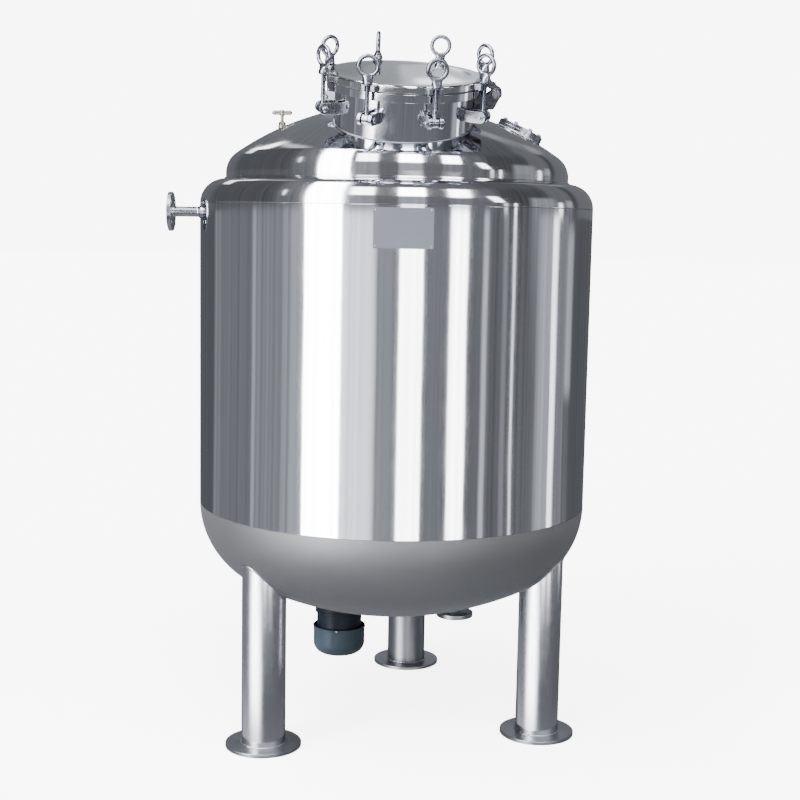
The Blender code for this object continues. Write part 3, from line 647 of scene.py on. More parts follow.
def build_dome():
    outside, inside = head_sheet(DOME_RADIUS, DOME_KNUCKLE, DOME_CROWN, DOME_WALL, (18, 36), (6, 12))
    foot = JACKET_TOP + SEAT_GAP - DOME_KNUCKLE_START
    profile = [*outside, (DOME_RADIUS, foot), (DOME_RADIUS - DOME_WALL, foot), *inside]
    mesh = turned([(radius, DOME_KNUCKLE_START + height) for radius, height in profile], SHELL_STEPS)
    piece("domed_head", wavy(mesh, DOME_WAVE, 6.0), "mirror", ["top_dome"], TANK)


def build_dish():
    outside, inside = head_sheet(JACKET_RADIUS, DISH_KNUCKLE, DISH_CROWN, DISH_WALL, (26, 24), (8, 8))
    rim = JACKET_BOTTOM - SEAT_GAP
    mesh = turned([(radius, rim - height) for radius, height in outside + inside], SHELL_STEPS)
    piece("blasted_dish", mesh, "blasted", ["bottom_dish"], TANK)


# Manhole

def build_neck():
    top = -LID_THICKNESS - GASKET_THICKNESS
    foot = top - NECK_FLANGE
    inner = NECK_RADIUS - NECK_WALL
    corners = [(inner, -NECK_DEPTH, 0), (NECK_RADIUS, -NECK_DEPTH, 0), (NECK_RADIUS, foot, 0.003),
               (LID_EDGE_RADIUS, foot, 0.0012), (LID_EDGE_RADIUS, top, 0.0008), (inner, top, 0.0008)]
    tube = turned(divided(rounded(corners), 0.04), SHELL_STEPS, True)
    piece("neck_and_flange", wavy(tube, DOME_WAVE, 9.0), "neck", ["manhole_neck"], MANHOLE)
    seam = seam_on_head(MANHOLE, NECK_RADIUS + 0.0008, dome_height)
    weld("neck_weld", seam, PIPE_BEAD, look="dull_and_shade")


def cheek_mesh():
    """A bracket cheek in the bolt's frame, centred on the pivot's plane."""
    root = NECK_RADIUS - NECK_WALL / 2 - BOLT_CIRCLE
    half = CHEEK_HALF_HEIGHT
    outline = [(root, -half), *arc((0, 0), half, -90, 90, 16), (root, half)]
    return along_y(prism(outline, CHEEK_THICKNESS, 0.0015), CHEEK_THICKNESS)


def pin_mesh():
    """The clamp's pin along Y: a domed head, a washer and a split pin at its far end."""
    start = -PIN_LENGTH / 2
    end = PIN_LENGTH / 2 - 0.001
    head_end = start + 0.0065
    pin = turned([(0, start), *arc((0, start + 0.004), 0.004, -90, -50, 3)[1:],
                  *rounded([(PIN_HEAD_RADIUS - 0.002, start + 0.0012, 0),
                            (PIN_HEAD_RADIUS, start + 0.003, 0.001), (PIN_HEAD_RADIUS, head_end, 0.001),
                            (PIN_RADIUS, head_end, 0)], 3, False),
                  (PIN_RADIUS, end - 0.0015), (PIN_RADIUS - 0.0012, end), (0, end)])
    cheek_face = CHEEK_SIDE + CHEEK_THICKNESS / 2
    washer = turned(ring_section(PIN_RADIUS, 0.0105, cheek_face, cheek_face + 0.002, low_out=0.0006,
                                 high_out=0.0006), loop=True)
    height = cheek_face + 0.0042
    wire = [(-0.009, 0, 0), (0, 0, 0), (0.009, 0, 0), (0.012, 0.002, 0.001), (0.014, 0.006, 0.002)]
    split = swept([Vector((x, y, height + z)) for x, y, z in wire], [0.0012] * len(wire), False)
    loop = [Vector((-0.0115 + x, 0, height + z)) for x, z in circle(0.0026, 12)]
    return along_y(joined([pin, split, swept(loop, [0.0011] * len(loop), up=(0, 1, 0)), washer]))


def build_brackets():
    cheek = cheek_mesh()
    pin = pin_mesh()
    root = NECK_RADIUS - BOLT_CIRCLE + 0.001
    reach = CHEEK_HALF_HEIGHT - 0.001
    upright_bead = bead([Vector((root, 0, -reach)), Vector((root, 0, reach))], 0.0028, False)
    cheeks = []
    beads = []
    for place in BOLTS:
        for side in (-CHEEK_SIDE, CHEEK_SIDE):
            cheeks.append(moved(cheek, place @ shift(0, side, 0)))
            for face in (side - CHEEK_THICKNESS / 2, side + CHEEK_THICKNESS / 2):
                # the neck curves away from the middle
                beads.append(moved(upright_bead, place @ shift(-abs(face) * 0.06, face, 0)))
    piece("bracket_cheeks", joined(cheeks), "clamp")
    piece("bracket_welds", joined(beads), "weld")
    piece("bracket_pins", joined([moved(pin, place) for place in BOLTS]), "clamp")


def build_gasket():
    gap = 0.003
    section = ring_section(NECK_RADIUS - NECK_WALL + gap, LID_EDGE_RADIUS - gap,
                           -LID_THICKNESS - GASKET_THICKNESS, -LID_THICKNESS, 0, 0.0015, 0.0015)
    piece("gasket_ring", turned(section, SHELL_STEPS, True), "seal", ["manhole_gasket"], MANHOLE)


def build_lid():
    flat = LID_EDGE_RADIUS - LID_FLAT_RIM
    crown = (flat ** 2 + LID_CROWN ** 2) / (2 * LID_CROWN)
    steps = 18
    radii = [flat * (1 - step / steps) for step in range(1, steps + 1)]
    cap = [(radius, math.sqrt(crown ** 2 - radius ** 2) - crown + LID_CROWN) for radius in radii]
    edge = rounded([(0, -LID_THICKNESS, 0), (LID_EDGE_RADIUS, -LID_THICKNESS, 0.0015),
                    (LID_EDGE_RADIUS, 0, LID_RIM_FILLET), (flat, 0, 0)], 8, False)
    piece("lid_plate", turned([*edge, *cap], SHELL_STEPS), "lid", ["manhole_lid"], MANHOLE)


def build_lugs():
    """The lid's forks, one for each bolt."""
    half = LUG_SLOT_WIDTH / 2
    wide = half + LUG_HORN_WIDTH
    root = LID_EDGE_RADIUS - 0.004
    low_horn = rounded([(root, -wide, 0), (BOLT_CIRCLE, -wide, 0.005), (BOLT_CIRCLE, -half, 0)], 5, False)
    high_horn = [(x, -y) for x, y in reversed(low_horn)]
    slot = arc((BOLT_CIRCLE, 0), half, -90, -270, 12)
    outline = [(root, wide), (root, -wide), *low_horn[1:-1], *slot, *high_horn[1:-1]]
    lug = prism(outline, LID_THICKNESS - LUG_TOP_DROP - 0.001, 0.0012)
    lugs = []
    for place in BOLTS:
        angle = angle_in(MANHOLE, place.translation)[0]
        lugs.append(moved(lug, MANHOLE @ spin(angle) @ shift(0, 0, 0.001 - LID_THICKNESS)))
    piece("lid_lugs", joined(lugs), "clamp")


def bolt_mesh(seat):
    half = BOLT_EYE_WIDTH / 2
    eye = turned(ring_section(BOLT_EYE_BORE, BOLT_EYE_RADIUS, -half, half, 0.001, 0.0025, 0.0025, 0.001),
                 loop=True)
    start = (BOLT_EYE_RADIUS + BOLT_EYE_BORE) / 2
    top = seat + BOLT_END_RISE
    core = BOLT_RADIUS - THREAD_DEPTH
    profile = [(0, start), (BOLT_RADIUS + 0.0015, start), (BOLT_RADIUS + 0.0012, BOLT_EYE_RADIUS),
               (BOLT_RADIUS, BOLT_EYE_RADIUS + 0.004), (BOLT_RADIUS, THREAD_START - 0.001)]
    for turn in range(int((top - THREAD_START) / THREAD_PITCH)):
        height = THREAD_START + turn * THREAD_PITCH
        profile += [(core, height), (BOLT_RADIUS, height + THREAD_PITCH * 0.4),
                    (BOLT_RADIUS, height + THREAD_PITCH * 0.6)]
    return joined([along_y(eye), turned([*profile, (core, top), (0, top)], 28)])


def nut_mesh(seat):
    """A forged eye nut: the ring, and a collar that flares into it. Remeshed so that they blend."""
    centre = RING_CENTRE_HEIGHT
    bar = arc((RING_RADIUS, 0), RING_BAR_RADIUS, 0, 360, 20)[:-1]
    ring = moved(turned(bar, 72, True), shift(0, 0, centre) @ LAY_ALONG_Y)
    web_top = centre - RING_RADIUS + RING_BAR_RADIUS * 0.8
    stages = [(seat, 0.013, 0.013), (seat + 0.0015, NUT_COLLAR_RADIUS, NUT_COLLAR_RADIUS),
              (seat + 0.009, NUT_COLLAR_RADIUS, NUT_COLLAR_RADIUS), (seat + 0.015, 0.0155, 0.0135),
              (seat + 0.022, 0.0165, 0.0100), (web_top, 0.0205, 0.0062)]
    collar = skinned([[(x * half_x, y * half_y, height) for x, y in circle(1, 36)]
                      for height, half_x, half_y in stages], capped=True)
    item = shown("nut_source", joined([ring, collar]))
    remesh = item.modifiers.new("remesh", "REMESH")
    remesh.mode = "VOXEL"
    remesh.voxel_size = NUT_VOXEL
    smooth = item.modifiers.new("smooth", "SMOOTH")
    smooth.factor = 0.5
    smooth.iterations = 6
    bpy.context.view_layer.update()
    mesh = bpy.data.meshes.new_from_object(item.evaluated_get(bpy.context.evaluated_depsgraph_get()))
    bpy.data.objects.remove(item)
    mesh.shade_smooth()
    return mesh


def ring_turn(number, place):
    """How far the ring is turned about its bolt, read from the frame's eye nut."""
    back = place.inverted()
    points = [back @ point for point in corners_of(f"eye_nut_{number}")]
    points = [point for point in points if point.z > RING_CENTRE_HEIGHT]
    mean = sum(points, Vector()) / len(points)
    spread_x = sum((point.x - mean.x) ** 2 for point in points)
    spread_y = sum((point.y - mean.y) ** 2 for point in points)
    both = sum((point.x - mean.x) * (point.y - mean.y) for point in points)
    return math.atan2(2 * both, spread_x - spread_y) / 2


def build_swing_bolts():
    seat = PIVOT_DROP - LUG_TOP_DROP + NUT_SEAT_GAP
    rod = bolt_mesh(seat)
    nut = nut_mesh(seat)
    for number, place in enumerate(BOLTS, 1):
        body = f"bolt_{number}"
        piece(f"bolt_rod_{number}", rod, "clamp", [f"swing_bolt_{number}"], place, body=body)
        piece(f"nut_forging_{number}", nut, "clamp", [f"eye_nut_{number}"],
              place @ spin(ring_turn(number, place)), body=body)


def build_hinge():
    place = MANHOLE @ spin(angle_in(MANHOLE, centroid("lid_hinge_bracket"))[0])
    low, high = local_box("lid_hinge_bracket", place)
    arm_low, arm_high = local_box("lid_hinge_arm", place)
    arm_width = arm_high.y - arm_low.y
    barrel = 0.016
    pin_x = arm_high.x - barrel
    pin_z = arm_low.z + barrel

    cheek_round = 0.018
    thick = 0.010
    side = arm_width / 2 + 0.001 + thick / 2
    root = low.x
    root_top = -0.0525
    outline = rounded([(root, low.z, 0.003), (pin_x - 0.004, low.z, 0.012),
                       (pin_x + 0.010, pin_z - cheek_round + 0.003, 0.006)], 5, False)[:-1]
    outline += arc((pin_x, pin_z), cheek_round, -50, 95, 14)
    outline += rounded([(pin_x - 0.004, pin_z + cheek_round, 0), (pin_x - 0.030, root_top, 0.006),
                        (root, root_top, 0)], 4, False)[1:]
    cheek = along_y(prism(outline, thick, 0.0015), thick)
    web = prism(ring_section(root, root + 0.012, low.z + 0.002, root_top - 0.002), 2 * side, 0.001)
    piece("hinge_casting", joined([moved(cheek, shift(0, -side, 0)), moved(cheek, shift(0, side, 0)),
                                   along_y(web, 2 * side)]),
          "cast", ["lid_hinge_bracket"], place)

    at_pin = shift(pin_x, 0, pin_z) @ LAY_ALONG_Y
    head_rise = 0.0075
    hexagon = prism(circle(0.0135, 6), head_rise, 0.0008)
    half = high.y
    face = side + thick / 2
    shank = turned([(0, -half), (0.006, -half), (0.007, -half + 0.001), (0.007, half - 0.001),
                    (0.006, half), (0, half)])
    piece("hinge_pin", joined([moved(hexagon, at_pin @ shift(0, 0, face)),
                               moved(hexagon, at_pin @ shift(0, 0, -face - head_rise)),
                               moved(shank, at_pin)]),
          "fitting", (), place)

    half = arm_width / 2
    ring = moved(turned(ring_section(0.0076, barrel, -half, half, 0.0008, 0.0015, 0.0015, 0.0008),
                        loop=True), at_pin)
    start = arm_low.x
    strap_outline = rounded([(start, 0.001 - LID_THICKNESS, 0), (pin_x - 0.014, -0.036, 0.006),
                             (pin_x - 0.004, -0.046, 0), (pin_x + 0.006, pin_z + 0.0135, 0),
                             (pin_x - 0.004, -0.016, 0.012), (start, -0.002, 0)], 4, False)
    strap_width = arm_width - 0.002
    strap = along_y(prism(strap_outline, strap_width, 0.0015), strap_width)
    small = spin(math.radians(17), "Y") @ Matrix.Scale(0.42, 4)
    screws = [moved(hexagon, shift(start + 0.016, y, -0.0065) @ small) for y in (-0.0075, 0.0075)]
    piece("hinge_arm_casting", joined([ring, strap, *screws]), "cast", ["lid_hinge_arm"], place)


# On the dome

def cap_screw(radius, height):
    """A hexagon bolt head on its washer, standing on z = 0."""
    head = prism(circle(radius, 6), height, radius * 0.12)
    washer = turned(disc_section(radius * 1.25, 0, 0.0012, 0, 0.0004), 32)
    return joined([moved(head, shift(0, 0, 0.001)), washer])


def screw_ring(screw, radius, first, height, turn=0.0):
    """Eight screws in a ring, each turned on its own axis a little further than the last."""
    return joined([moved(screw, shift(x, y, height) @ spin(k * turn))
                   for k, (x, y) in enumerate(circle(radius, 8, first))])


def build_sight_glass():
    centre = Vector((AXIS_X, AXIS_Y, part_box("top_dome")[1].z - DOME_CROWN))
    outward = (centroid("sight_glass_pane") - centre).normalized()
    place = shift(*(centre + outward * DOME_CROWN)) @ spin(math.atan2(outward.x, outward.z), "Y")
    low, high = local_box("sight_glass_ring", place)
    pane_low, pane_high = local_box("sight_glass_pane", place)
    radius = high.x
    pane_radius = pane_high.x
    window = pane_radius - 0.010
    base_top = low.z - SEAT_GAP

    base = ring_section(window, radius, -0.010, base_top, high_out=0.0012, high_in=0.001)
    piece("sight_glass_pad", turned(base, TUBE_STEPS, True), "fitting", ["sight_glass_base"], place)
    seat = pane_radius + SEAT_GAP
    rest = pane_high.z + SEAT_GAP
    ring = rounded([(seat, low.z, 0), (radius, low.z, 0.001), (radius, high.z, 0.0018),
                    (window, high.z, 0.0012), (window, rest, 0), (seat, rest, 0)])
    piece("sight_glass_clamp", turned(ring, TUBE_STEPS, True), "fitting", ["sight_glass_ring"], place)
    seal = ring_section(pane_radius - 0.001, radius - 0.001, base_top, low.z + 0.0005)
    piece("sight_glass_seal", turned(seal, TUBE_STEPS, True), "seal", (), place)
    pane = disc_section(pane_radius, pane_low.z, pane_high.z, 0.0006, 0.0006)
    piece("sight_glass_disc", turned(pane, TUBE_STEPS), "glass", ["sight_glass_pane"], place)
    # a dark disc under the glass is painted shade: it stands for the unlit inside of the tank, as the dome
    # under the glass is not cut
    inside_shade = disc_section(window - 0.0005, 0.001, 0.003)
    piece("sight_glass_shade_disc", turned(inside_shade, TUBE_STEPS), "inside_shade", (), place)
    screws = screw_ring(cap_screw(0.0075, 0.0062), (radius + pane_radius) / 2, 0.5, high.z, 0.7)
    piece("sight_glass_screws", screws, "fitting", (), place)
    weld("sight_glass_weld", seam_on_head(place, radius + 0.001, dome_height), WIDE_BEAD)


def build_vent():
    x, y = upright("vent_stem")[:2]
    joint = Vector(joint_of("vent_tap")["pos_m"])
    base = dome_height(x, y)
    place = shift(x, y, base)
    top = joint.z - base
    boss = rounded([(0, -0.010, 0), (0.013, -0.010, 0), (0.013, 0.010, 0.001), (0.009, 0.0125, 0.001),
                    (0.009, 0.020, 0.001), (0.0055, 0.022, 0.0008), (0.0055, top, 0), (0, top, 0)],
                   3, False)
    piece("vent_valve", turned(boss), "brass", ["vent_stem"], place)
    hexagon = prism(circle(0.0125, 6), 0.008, 0.0008)
    piece("vent_hexagon", hexagon, "brass", (), place @ shift(0, 0, 0.0105))
    foot = [Vector((u, v, dome_height(x + u, y + v) - base)) for u, v in circle(0.0135, SCREW_STEPS)]
    weld("vent_weld", foot, FINE_BEAD, place)

    low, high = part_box("vent_handle")
    long = (high.x - low.x) / 2
    knob = 0.0065
    end = [(0.0072, long - 0.017), (0.0078, long - 0.010), *arc((0, long - knob), knob, 15, 70, 5),
           (0, long)]
    other_end = [(radius, -along) for radius, along in reversed(end)]
    bar = moved(turned([*other_end, (0.0068, 0), *end]), shift(0, 0, 0.010) @ spin(math.pi / 2, "Y"))
    hub = turned(rounded([(0, SEAT_GAP, 0), (0.0085, SEAT_GAP, 0.001), (0.0085, 0.015, 0.002),
                          (0.006, 0.019, 0.001), (0, 0.019, 0)], 4, False))
    piece("vent_t_handle", joined([bar, hub]), "brass", ["vent_handle"], shift(*joint),
          "vent_tap")


# On the jacket

def drilled_disc(radius, thick, bevel, bolt_circle, bore):
    """A flange with a bore and four bolt holes."""
    holes = [(x, y, FLANGE_HOLE_RADIUS) for x, y in circle(bolt_circle, 4, 0.5)]
    return prism(circle(radius, TUBE_STEPS), thick, bevel, [*holes, (0, 0, bore)])


def build_side_nozzle():
    low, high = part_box("side_nozzle_flange")
    middle = (low + high) / 2
    thick = high.x - low.x
    place = shift(high.x, middle.y, middle.z) @ spin(-math.pi / 2, "Y")
    bore = 0.0135
    flange = drilled_disc((high.z - low.z) / 2, thick - 0.002, 0.0012, 0.0455, bore)
    face = turned(ring_section(bore, 0.034, thick - 0.003, thick, high_out=0.0005, high_in=0.0005),
                  TUBE_STEPS, True)
    piece("nozzle_flange_disc", joined([flange, face]), "fitting", ["side_nozzle_flange"], place)

    pipe_low, pipe_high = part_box("side_nozzle_pipe")
    outer = (pipe_high.z - pipe_low.z) / 2
    foot = pipe_low.x - pipe_high.x
    flare = 0.012
    steps = 6
    pipe = [(bore, foot - 0.004), (outer + flare, foot - 0.004),
            *[(outer + flare * (1 - k / steps) ** 2, foot + 0.002 + flare * k / steps)
              for k in range(steps + 1)],
            (outer, -0.004), (outer + 0.002, 0), (bore, 0)]
    piece("nozzle_neck_pipe", turned(pipe, TUBE_STEPS, True), "fitting", ["side_nozzle_pipe"], place)
    seam = spaced([Vector((-math.sqrt(JACKET_RADIUS ** 2 - y ** 2), y, middle.z + z))
                   for y, z in circle(outer + 0.013, 64)], WELD_PITCH / 4)
    radii = [PIPE_BEAD * (1 + 0.2 * math.sin(math.pi * k / 2)) for k in range(len(seam))]
    piece("nozzle_weld", swept(seam, radii, up=(1, 0, 0)), "dull_and_shade", (), TANK)


def build_nameplate():
    middle = centroid("nameplate")
    place = TANK @ spin(math.atan2(middle.y - AXIS_Y, middle.x - AXIS_X)) @ shift(0, 0, middle.z)
    low, high = local_box("nameplate", place)
    thick = high.x - low.x
    wide = (high.y - low.y) / 2
    tall = (high.z - low.z) / 2
    facing = place @ shift(low.x, 0, 0) @ spin(math.pi / 2) @ LAY_ALONG_Y
    signs = [(-1, -1), (1, -1), (1, 1), (-1, 1)]
    outline = rounded([(s * wide, t * tall, 0.004) for s, t in signs], 6)
    piece("plain_nameplate", prism(outline, thick - 0.0004, 0.0004), "satin", ["nameplate"], facing)
    rivet = turned([(0, -0.001), (0.0028, -0.001), (0.0028, 0.0002), *arc((0, -0.0008), 0.0030, 20, 85, 5),
                    (0, 0.0023)], SCREW_STEPS)
    inset = 0.007
    rivets = [moved(rivet, shift(s * (wide - inset), t * (tall - inset), thick - 0.0012))
              for s, t in signs]
    piece("nameplate_rivets", joined(rivets), "fitting", (), facing)

    low, high = local_box("nameplate_holder", place)
    narrow = (high.y - low.y) / 2
    rows = 24
    across = [narrow * (2 * row / rows - 1) for row in range(rows + 1)]
    shape = [*[(math.sqrt(JACKET_RADIUS ** 2 - y ** 2) - 0.001, y) for y in across],
             (high.x, narrow), (high.x, -narrow)]
    piece("nameplate_backing", prism(shape, high.z - low.z, 0.0006), "satin", ["nameplate_holder"],
          place @ shift(0, 0, low.z))


# Below

def build_legs():
    steps = TUBE_STEPS * 2
    rows = 14
    for name in ("left", "right", "back"):
        x, y, radius, _, _ = upright(f"leg_{name}")
        _, _, foot_radius, foot_low, foot_high = upright(f"foot_plate_{name}")
        place = shift(x, y, 0)
        rim = [(u, v, dish_height(x + u, y + v)) for u, v in circle(radius, steps)]
        sections = [[(u, v, foot_high + (height + 0.002 - foot_high) * row / rows) for u, v, height in rim]
                    for row in range(rows + 1)]
        # the back leg takes the darker steel instead of the legs' polish: painted shade of the tank over it
        look = "dull_and_shade" if name == "back" else "leg"
        piece(f"leg_tube_{name}", skinned(sections, capped=True), look, [f"leg_{name}"], place)
        # the foot discs take the dark steel: painted dark reflection of the dish above them
        foot = turned(disc_section(foot_radius, foot_low, foot_high, 0.001, 0.002, 4), SHELL_STEPS // 2)
        piece(f"foot_disc_{name}", foot, "dull_and_shade", [f"foot_plate_{name}"], place)
        ring = [Vector((u, v, foot_high + 0.0005)) for u, v in circle(radius + 0.0008, steps)]
        weld(f"foot_weld_{name}", ring, FINE_BEAD, place)
        weld(f"leg_weld_{name}", [Vector(point) for point in rim], WIDE_BEAD, place, ripple=0.12)


def build_homogenizer():
    x, y, radius, foot, _ = upright("homogenizer_housing")
    _, _, _, frame_low, frame_high = upright("motor_frame")
    place = shift(x, y, 0)
    tube = 0.062
    flange_top = foot + 0.012
    top = dish_height(x, y) + 0.03
    housing = rounded([(0, foot, 0), (radius, foot, 0.001), (radius, flange_top, 0.0015),
                       (tube, flange_top, 0.004), (tube, top, 0), (0, top, 0)], 4, False)
    piece("housing_casting", turned(housing, TUBE_STEPS), "frame", ["homogenizer_housing"], place)
    seam = seam_on_head(place, tube + 0.001, dish_height, 96)
    weld("housing_weld", seam, WIDE_BEAD)

    body = 0.078
    lip = frame_high - 0.010
    motor = rounded([(0, frame_low, 0), (body, frame_low, 0.001), (body, lip, 0.003),
                     (radius, lip, 0.001), (radius, frame_high, 0.001), (0, frame_high, 0)], 4, False)
    piece("motor_body", turned(motor, TUBE_STEPS), "frame", ["motor_frame"], place)
    screws = screw_ring(cap_screw(0.0055, 0.0045), radius - 0.009, 0.25, flange_top)
    piece("housing_screws", screws, "fitting", (), place)

    _, _, cowl, bottom, rim = upright("motor_cowl")
    wall = 0.0025
    bend = 0.040
    side = cowl - 0.0012
    inside_floor = frame_low - SEAT_GAP
    profile = [(0, bottom), *arc((side - bend, bottom + bend), bend, -90, 0, 12), (side, rim - 0.010),
               (cowl, rim - 0.008), (cowl, rim - 0.001), (cowl - 0.001, rim), (cowl - wall, rim),
               (cowl - wall, inside_floor), (0, inside_floor)]
    piece("fan_cowl", turned(profile, TUBE_STEPS), "cowl", ["motor_cowl"], place)
    button = turned([(0, -0.002), (0.0042, -0.002), (0.0042, 0.0006), *arc((0, -0.0022), 0.0050, 33, 84, 5),
                     (0, 0.0028)], SCREW_STEPS)
    on_cowl = shift(cowl - 0.001, 0, rim - 0.004) @ spin(math.pi / 2, "Y")
    buttons = [moved(button, spin(math.radians(90 * k - 93)) @ on_cowl) for k in range(4)]
    piece("cowl_screws", joined(buttons), "fitting", (), place)


def build_outlet():
    x, y, radius, foot, top = upright("outlet_flange")
    place = shift(x, y, 0)
    bore = 0.0205
    outer = 0.024
    disc = drilled_disc(radius, top - foot, 0.0015, 0.047, bore)
    piece("outlet_disc", disc, "dull_and_shade", ["outlet_flange"], place @ shift(0, 0, foot))
    end = dish_height(x, y) + 0.012
    pipe = turned(ring_section(bore, outer, top, end), TUBE_STEPS, True)
    piece("outlet_tube", pipe, "dull_and_shade", ["outlet_pipe"], place)
    seam = seam_on_head(place, outer + 0.001, dish_height, 64)
    weld("outlet_weld", seam, 0.003)
    ring = [Vector((u, v, top)) for u, v in circle(outer + 0.001, 48)]
    weld("outlet_flange_weld", ring, 0.0025, place)


# Studio. A panel is placed by the part of the tank that shows it: how far round the wall that part
# lies (degrees from the front, positive to the right) and how far it tilts up.

BACKGROUND = 8.0
FLOOR_GLOW = 5.6
FLOOR_TONE = 0.8
FLOOR_RADIUS = 60.0
FLOOR_DROP = 0.0005
ROOM_LEVEL = 0.20
ALL_ROUND = (-200, 200, 1)


def at_tilts(tilts, rows):
    """Panels between the same tilts, with the same soft edge there and no lean."""
    return [(left, right, soft, *tilts, 0, bright) for left, right, soft, bright in rows]


# Each panel: from and to round the tank, its soft edge, from and to in tilt, its soft edge, how far
# it leans per degree of tilt, and its brightness. A later panel covers an earlier one.
PANELS = [
    # upper walls and ceiling
    (-90, -66, 4, -0.1, 50, 6, 0, 0.17),
    *at_tilts((-0.1, 54, 6), [(-68, -36, 3, 0.12), (-36, -27, 1, 0.22)]),
    (30, 64, 2, -0.1, 52, 8, 0, 0.10),
    (24, 50, 4, 40, 62, 8, 0, 0.13),
    (-90, -24, 8, 54, 72, 5, 0, 0.22),
    (157.5, 165, 2.5, 50, 63, 2, -1.9, 0.42),
    (*ALL_ROUND, 68, 95, 2, 0, 0.08),
    *at_tilts((67, 84, 2), [(-40, 40, 4, 0.48), (-60, -18, 4, 0.34)]),
    (5, 44, 3, 67, 80, 1, 0, 0.92),
    (12, 32, 3, 66, 74.6, 0.6, 0, 3.2),
    (42, 62, 2, 74.8, 79.5, 0.7, 0, 2.0),
    (49, 60, 2, -0.1, 56, 6, 0, 0.20),
    # under the lamps
    *at_tilts((-0.1, 21, 3), [(-15.5, -6, 0.6, 0.50), (0.5, 8, 0.5, 0.62), (15, 21, 0.5, 0.32)]),
    (41, 51, 1.5, -0.1, 20, 4, 0, 0.42),
    (57, 60, 1, 2, 16, 3, 0, 0.60),
    # lamps
    (-13.3, -6.5, 0.5, 20, 38, 2, 0, 11),
    (0.5, 8, 0.3, 19, 38, 2, 0, 20),
    (15, 21, 0.4, 18, 36, 2, 0, 14),
    (30.4, 33.6, 0.5, 10, 21, 2, -0.2, 8),
    *at_tilts((-0.1, 8, 1.5), [(31.3, 32.5, 0.3, 2.2), (34.9, 35.6, 0.25, 6)]),
    (52.8, 54.6, 0.4, -6, 11, 3, 0, 4),
    (57.5, 62.5, 0.5, -3.5, -0.1, 0.3, 0, 0.6),
    (-34, -33, 0.3, 18, 28, 4, 0, 4),
    (-66.5, -61.5, 1, 40, 50, 2, 0, 3),
    (-185.4, -181.4, 1, 49, 55, 1, 2.4, 6),
    (-52, -36, 4, 53.9, 55.1, 0.6, 0, 1.2),
    # low walls, which the jacket shows, from left to right
    *at_tilts((-7.3, 0.3, 0.1), [
        (-100, -64, 0.7, 0.12), (-64, -59, 0.8, 0.29), (-59, -46, 0.8, 0.235), (-45.5, -44.3, 0.3, 0.25),
        (-44.3, -43, 0.3, 0.62), (-43, -32, 0.6, 0.33), (-33, -31.5, 0.3, 0.50), (-31, -26, 0.6, 0.60),
        (-15.2, -5.2, 0.6, 2.1), (-5.4, 1, 2, 0.42), (1.2, 7.6, 0.3, 11), (7.8, 15.4, 0.3, 0.27),
        (15.4, 20.2, 0.3, 11), (25, 26.6, 0.4, 0.90), (27.5, 31.7, 0.5, 0.17), (31.4, 33, 0.4, 0.36),
        (34.9, 35.6, 0.25, 2.6), (44.5, 50, 1.5, 0.65), (53, 58, 0.6, 0.30), (50.5, 52.7, 0.4, 3.6),
        (62, 100, 1, 0.12),
    ]),
    # foot of the walls, which the legs show
    *at_tilts((-10.3, -7.3, 0.15), [(-100, -2, 4, 0.29), (0, 40, 4, 0.19), (40, 100, 6, 0.15)]),
    (-31, -8, 7, -10.1, -7.3, 0.15, 0, 13),
    # floor in front, which the manhole's neck and the dish show
    (*ALL_ROUND, -95, -10.3, 0.2, 0, 0.24),
    (-70, -17, 3, -24, -10.0, 0.4, 0, 0.72),
    (*ALL_ROUND, -95, -24, 4, 0, 0.55),
    (-100, -62, 5, -95, -10.3, 0.4, 0, 0.10),
    (62, 100, 5, -95, -10.3, 0.4, 0, 0.12),
    # tall window
    (-26.1, -15.2, 0.3, -7.3, 51, 0.15, 0, 22),
]


def emptied(owner):
    """The node tree of a material or world, without its first nodes."""
    owner.use_nodes = True
    owner.node_tree.nodes.clear()
    return owner.node_tree


def build_floor():
    mesh = bpy.data.meshes.new("studio_floor")
    bm = bmesh.new()
    bmesh.ops.create_circle(bm, cap_ends=True, segments=96, radius=FLOOR_RADIUS)
    bm.to_mesh(mesh)
    bm.free()
    floor = shown("studio_floor", mesh)
    floor.location.z = -FLOOR_DROP
    material = bpy.data.materials.new("studio_floor")
    tree = emptied(material)
    diffuse = add_node(tree, "ShaderNodeBsdfDiffuse", Color=(FLOOR_TONE, FLOOR_TONE, FLOOR_TONE, 1))
    glow = add_node(tree, "ShaderNodeEmission", Strength=FLOOR_GLOW)
    both = add_node(tree, "ShaderNodeAddShader", _0=diffuse.outputs[0], _1=glow.outputs[0])
    add_node(tree, "ShaderNodeOutputMaterial", Surface=both.outputs[0])
    mesh.materials.append(material)
    floor.visible_glossy = False
    floor.visible_diffuse = False


def band(tree, value, low, high, soft):
    """1 between low and high, with soft edges."""
    away = calculate(tree, "ABSOLUTE", calculate(tree, "SUBTRACT", value, (low + high) / 2))
    half = (high - low) / 2
    return ranged(tree, away, half - soft, half + soft, 1, 0, "SMOOTHSTEP")


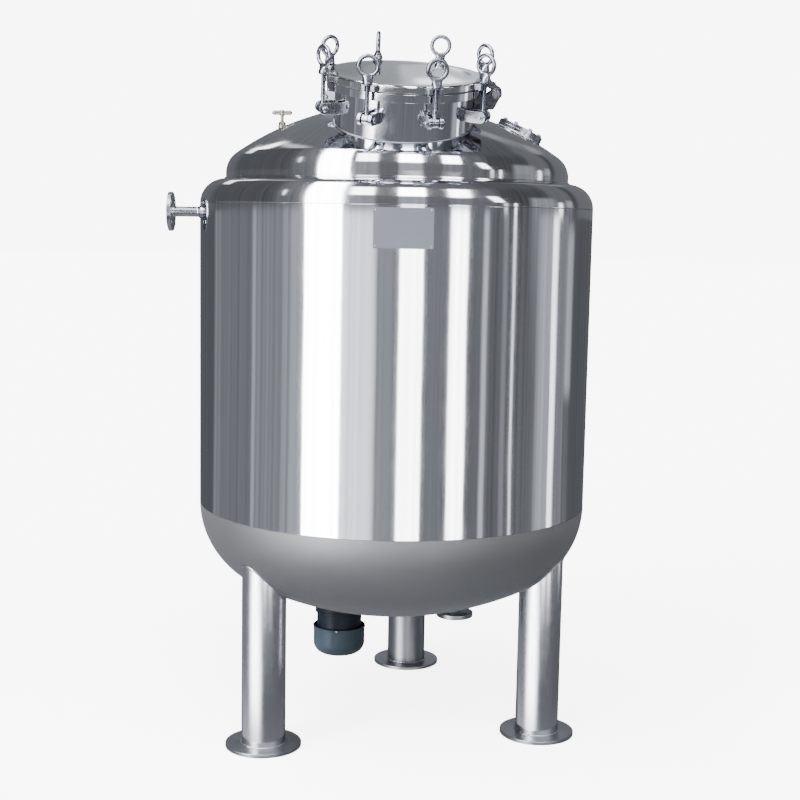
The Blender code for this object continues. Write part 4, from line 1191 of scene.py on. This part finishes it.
def build_light():
    """Panels round the tank. The wall that shows a direction faces halfway between it and the front."""
    world = bpy.data.worlds.new("studio")
    bpy.context.scene.world = world
    tree = emptied(world)
    direction = add_node(tree, "ShaderNodeTexCoord").outputs["Generated"]
    both_ways = add_node(tree, "ShaderNodeVectorMath", {"operation": "ADD"}, _0=direction, _1=(0, -1, 0))
    facing = add_node(tree, "ShaderNodeVectorMath", {"operation": "NORMALIZE"}, _0=both_ways.outputs[0])
    split = add_node(tree, "ShaderNodeSeparateXYZ", Vector=facing.outputs[0])
    x, y, z = (split.outputs[name] for name in "XYZ")
    turn = calculate(tree, "ARCTAN2", x, calculate(tree, "MULTIPLY", y, -1.0))
    around = calculate(tree, "DEGREES", turn)
    slope = calculate(tree, "DEGREES", calculate(tree, "ARCSINE", z))
    # looking down, a wall that faces sideways would seem to tilt more than one that faces the front
    evened = calculate(tree, "MULTIPLY", slope, calculate(tree, "COSINE", turn))
    tilt = calculate(tree, "MAXIMUM", slope, evened)
    start = add_node(tree, "ShaderNodeValue")
    start.outputs[0].default_value = ROOM_LEVEL
    level = start.outputs[0]
    for left, right, soft, low, high, edge, lean, bright in PANELS:
        place = around
        if lean:
            place = calculate(tree, "SUBTRACT", around, calculate(tree, "MULTIPLY", tilt, lean))
        mask = calculate(tree, "MULTIPLY", band(tree, tilt, low, high, edge),
                         band(tree, place, left, right, soft))
        mix = add_node(tree, "ShaderNodeMix", {"data_type": "FLOAT"}, _0=mask, _2=level, _3=bright)
        level = mix.outputs[0]
    streak = add_node(tree, "ShaderNodeTexNoise", {"noise_dimensions": "1D"}, W=around, Scale=0.9,
                      Detail=4.0, Roughness=0.7).outputs["Fac"]
    level = calculate(tree, "MULTIPLY", level, ranged(tree, streak, 0.3, 0.7, 0.72, 1.28))
    tint = blended(tree, ranged(tree, level, 0.5, 6, 0, 1), (0.93, 0.965, 1.04), (1, 1, 1))
    tinted = add_node(tree, "ShaderNodeBackground", Color=tint, Strength=level)
    plain = add_node(tree, "ShaderNodeBackground", Color=(1, 1, 1, 1), Strength=BACKGROUND)
    seen = add_node(tree, "ShaderNodeLightPath").outputs["Is Camera Ray"]
    both = add_node(tree, "ShaderNodeMixShader", _0=seen, _1=tinted.outputs[0], _2=plain.outputs[0])
    add_node(tree, "ShaderNodeOutputWorld", Surface=both.outputs[0])


# Camera

CAMERA_DISTANCE = 4.7194
CAMERA_HEIGHT = 1.6928
CAMERA_LENS = 63.05
CAMERA_YAW = 0.0048
CAMERA_PITCH = 0.1281
CAMERA_ROLL = 0.0182


def build_camera():
    data = bpy.data.cameras.new("camera")
    data.sensor_width = 36.0
    data.lens = CAMERA_LENS
    camera = shown("camera", data)
    forward = Vector((math.sin(CAMERA_YAW) * math.cos(CAMERA_PITCH),
                      math.cos(CAMERA_YAW) * math.cos(CAMERA_PITCH), -math.sin(CAMERA_PITCH)))
    right = forward.cross(Vector((0, 0, 1))).normalized()
    up = right.cross(forward)
    level = Matrix((right, up, -forward)).transposed()
    roll = Matrix.Rotation(-CAMERA_ROLL, 3, forward)
    camera.matrix_world = (shift(AXIS_X, AXIS_Y - CAMERA_DISTANCE, CAMERA_HEIGHT)
                           @ (roll @ level).to_4x4())
    bpy.context.scene.camera = camera


build_jacket()
build_shoulder()
build_dome()
build_dish()
build_neck()
build_brackets()
build_gasket()
build_lid()
build_lugs()
build_swing_bolts()
build_hinge()
build_sight_glass()
build_vent()
build_side_nozzle()
build_nameplate()
build_legs()
build_homogenizer()
build_outlet()
build_floor()
build_light()
build_camera()
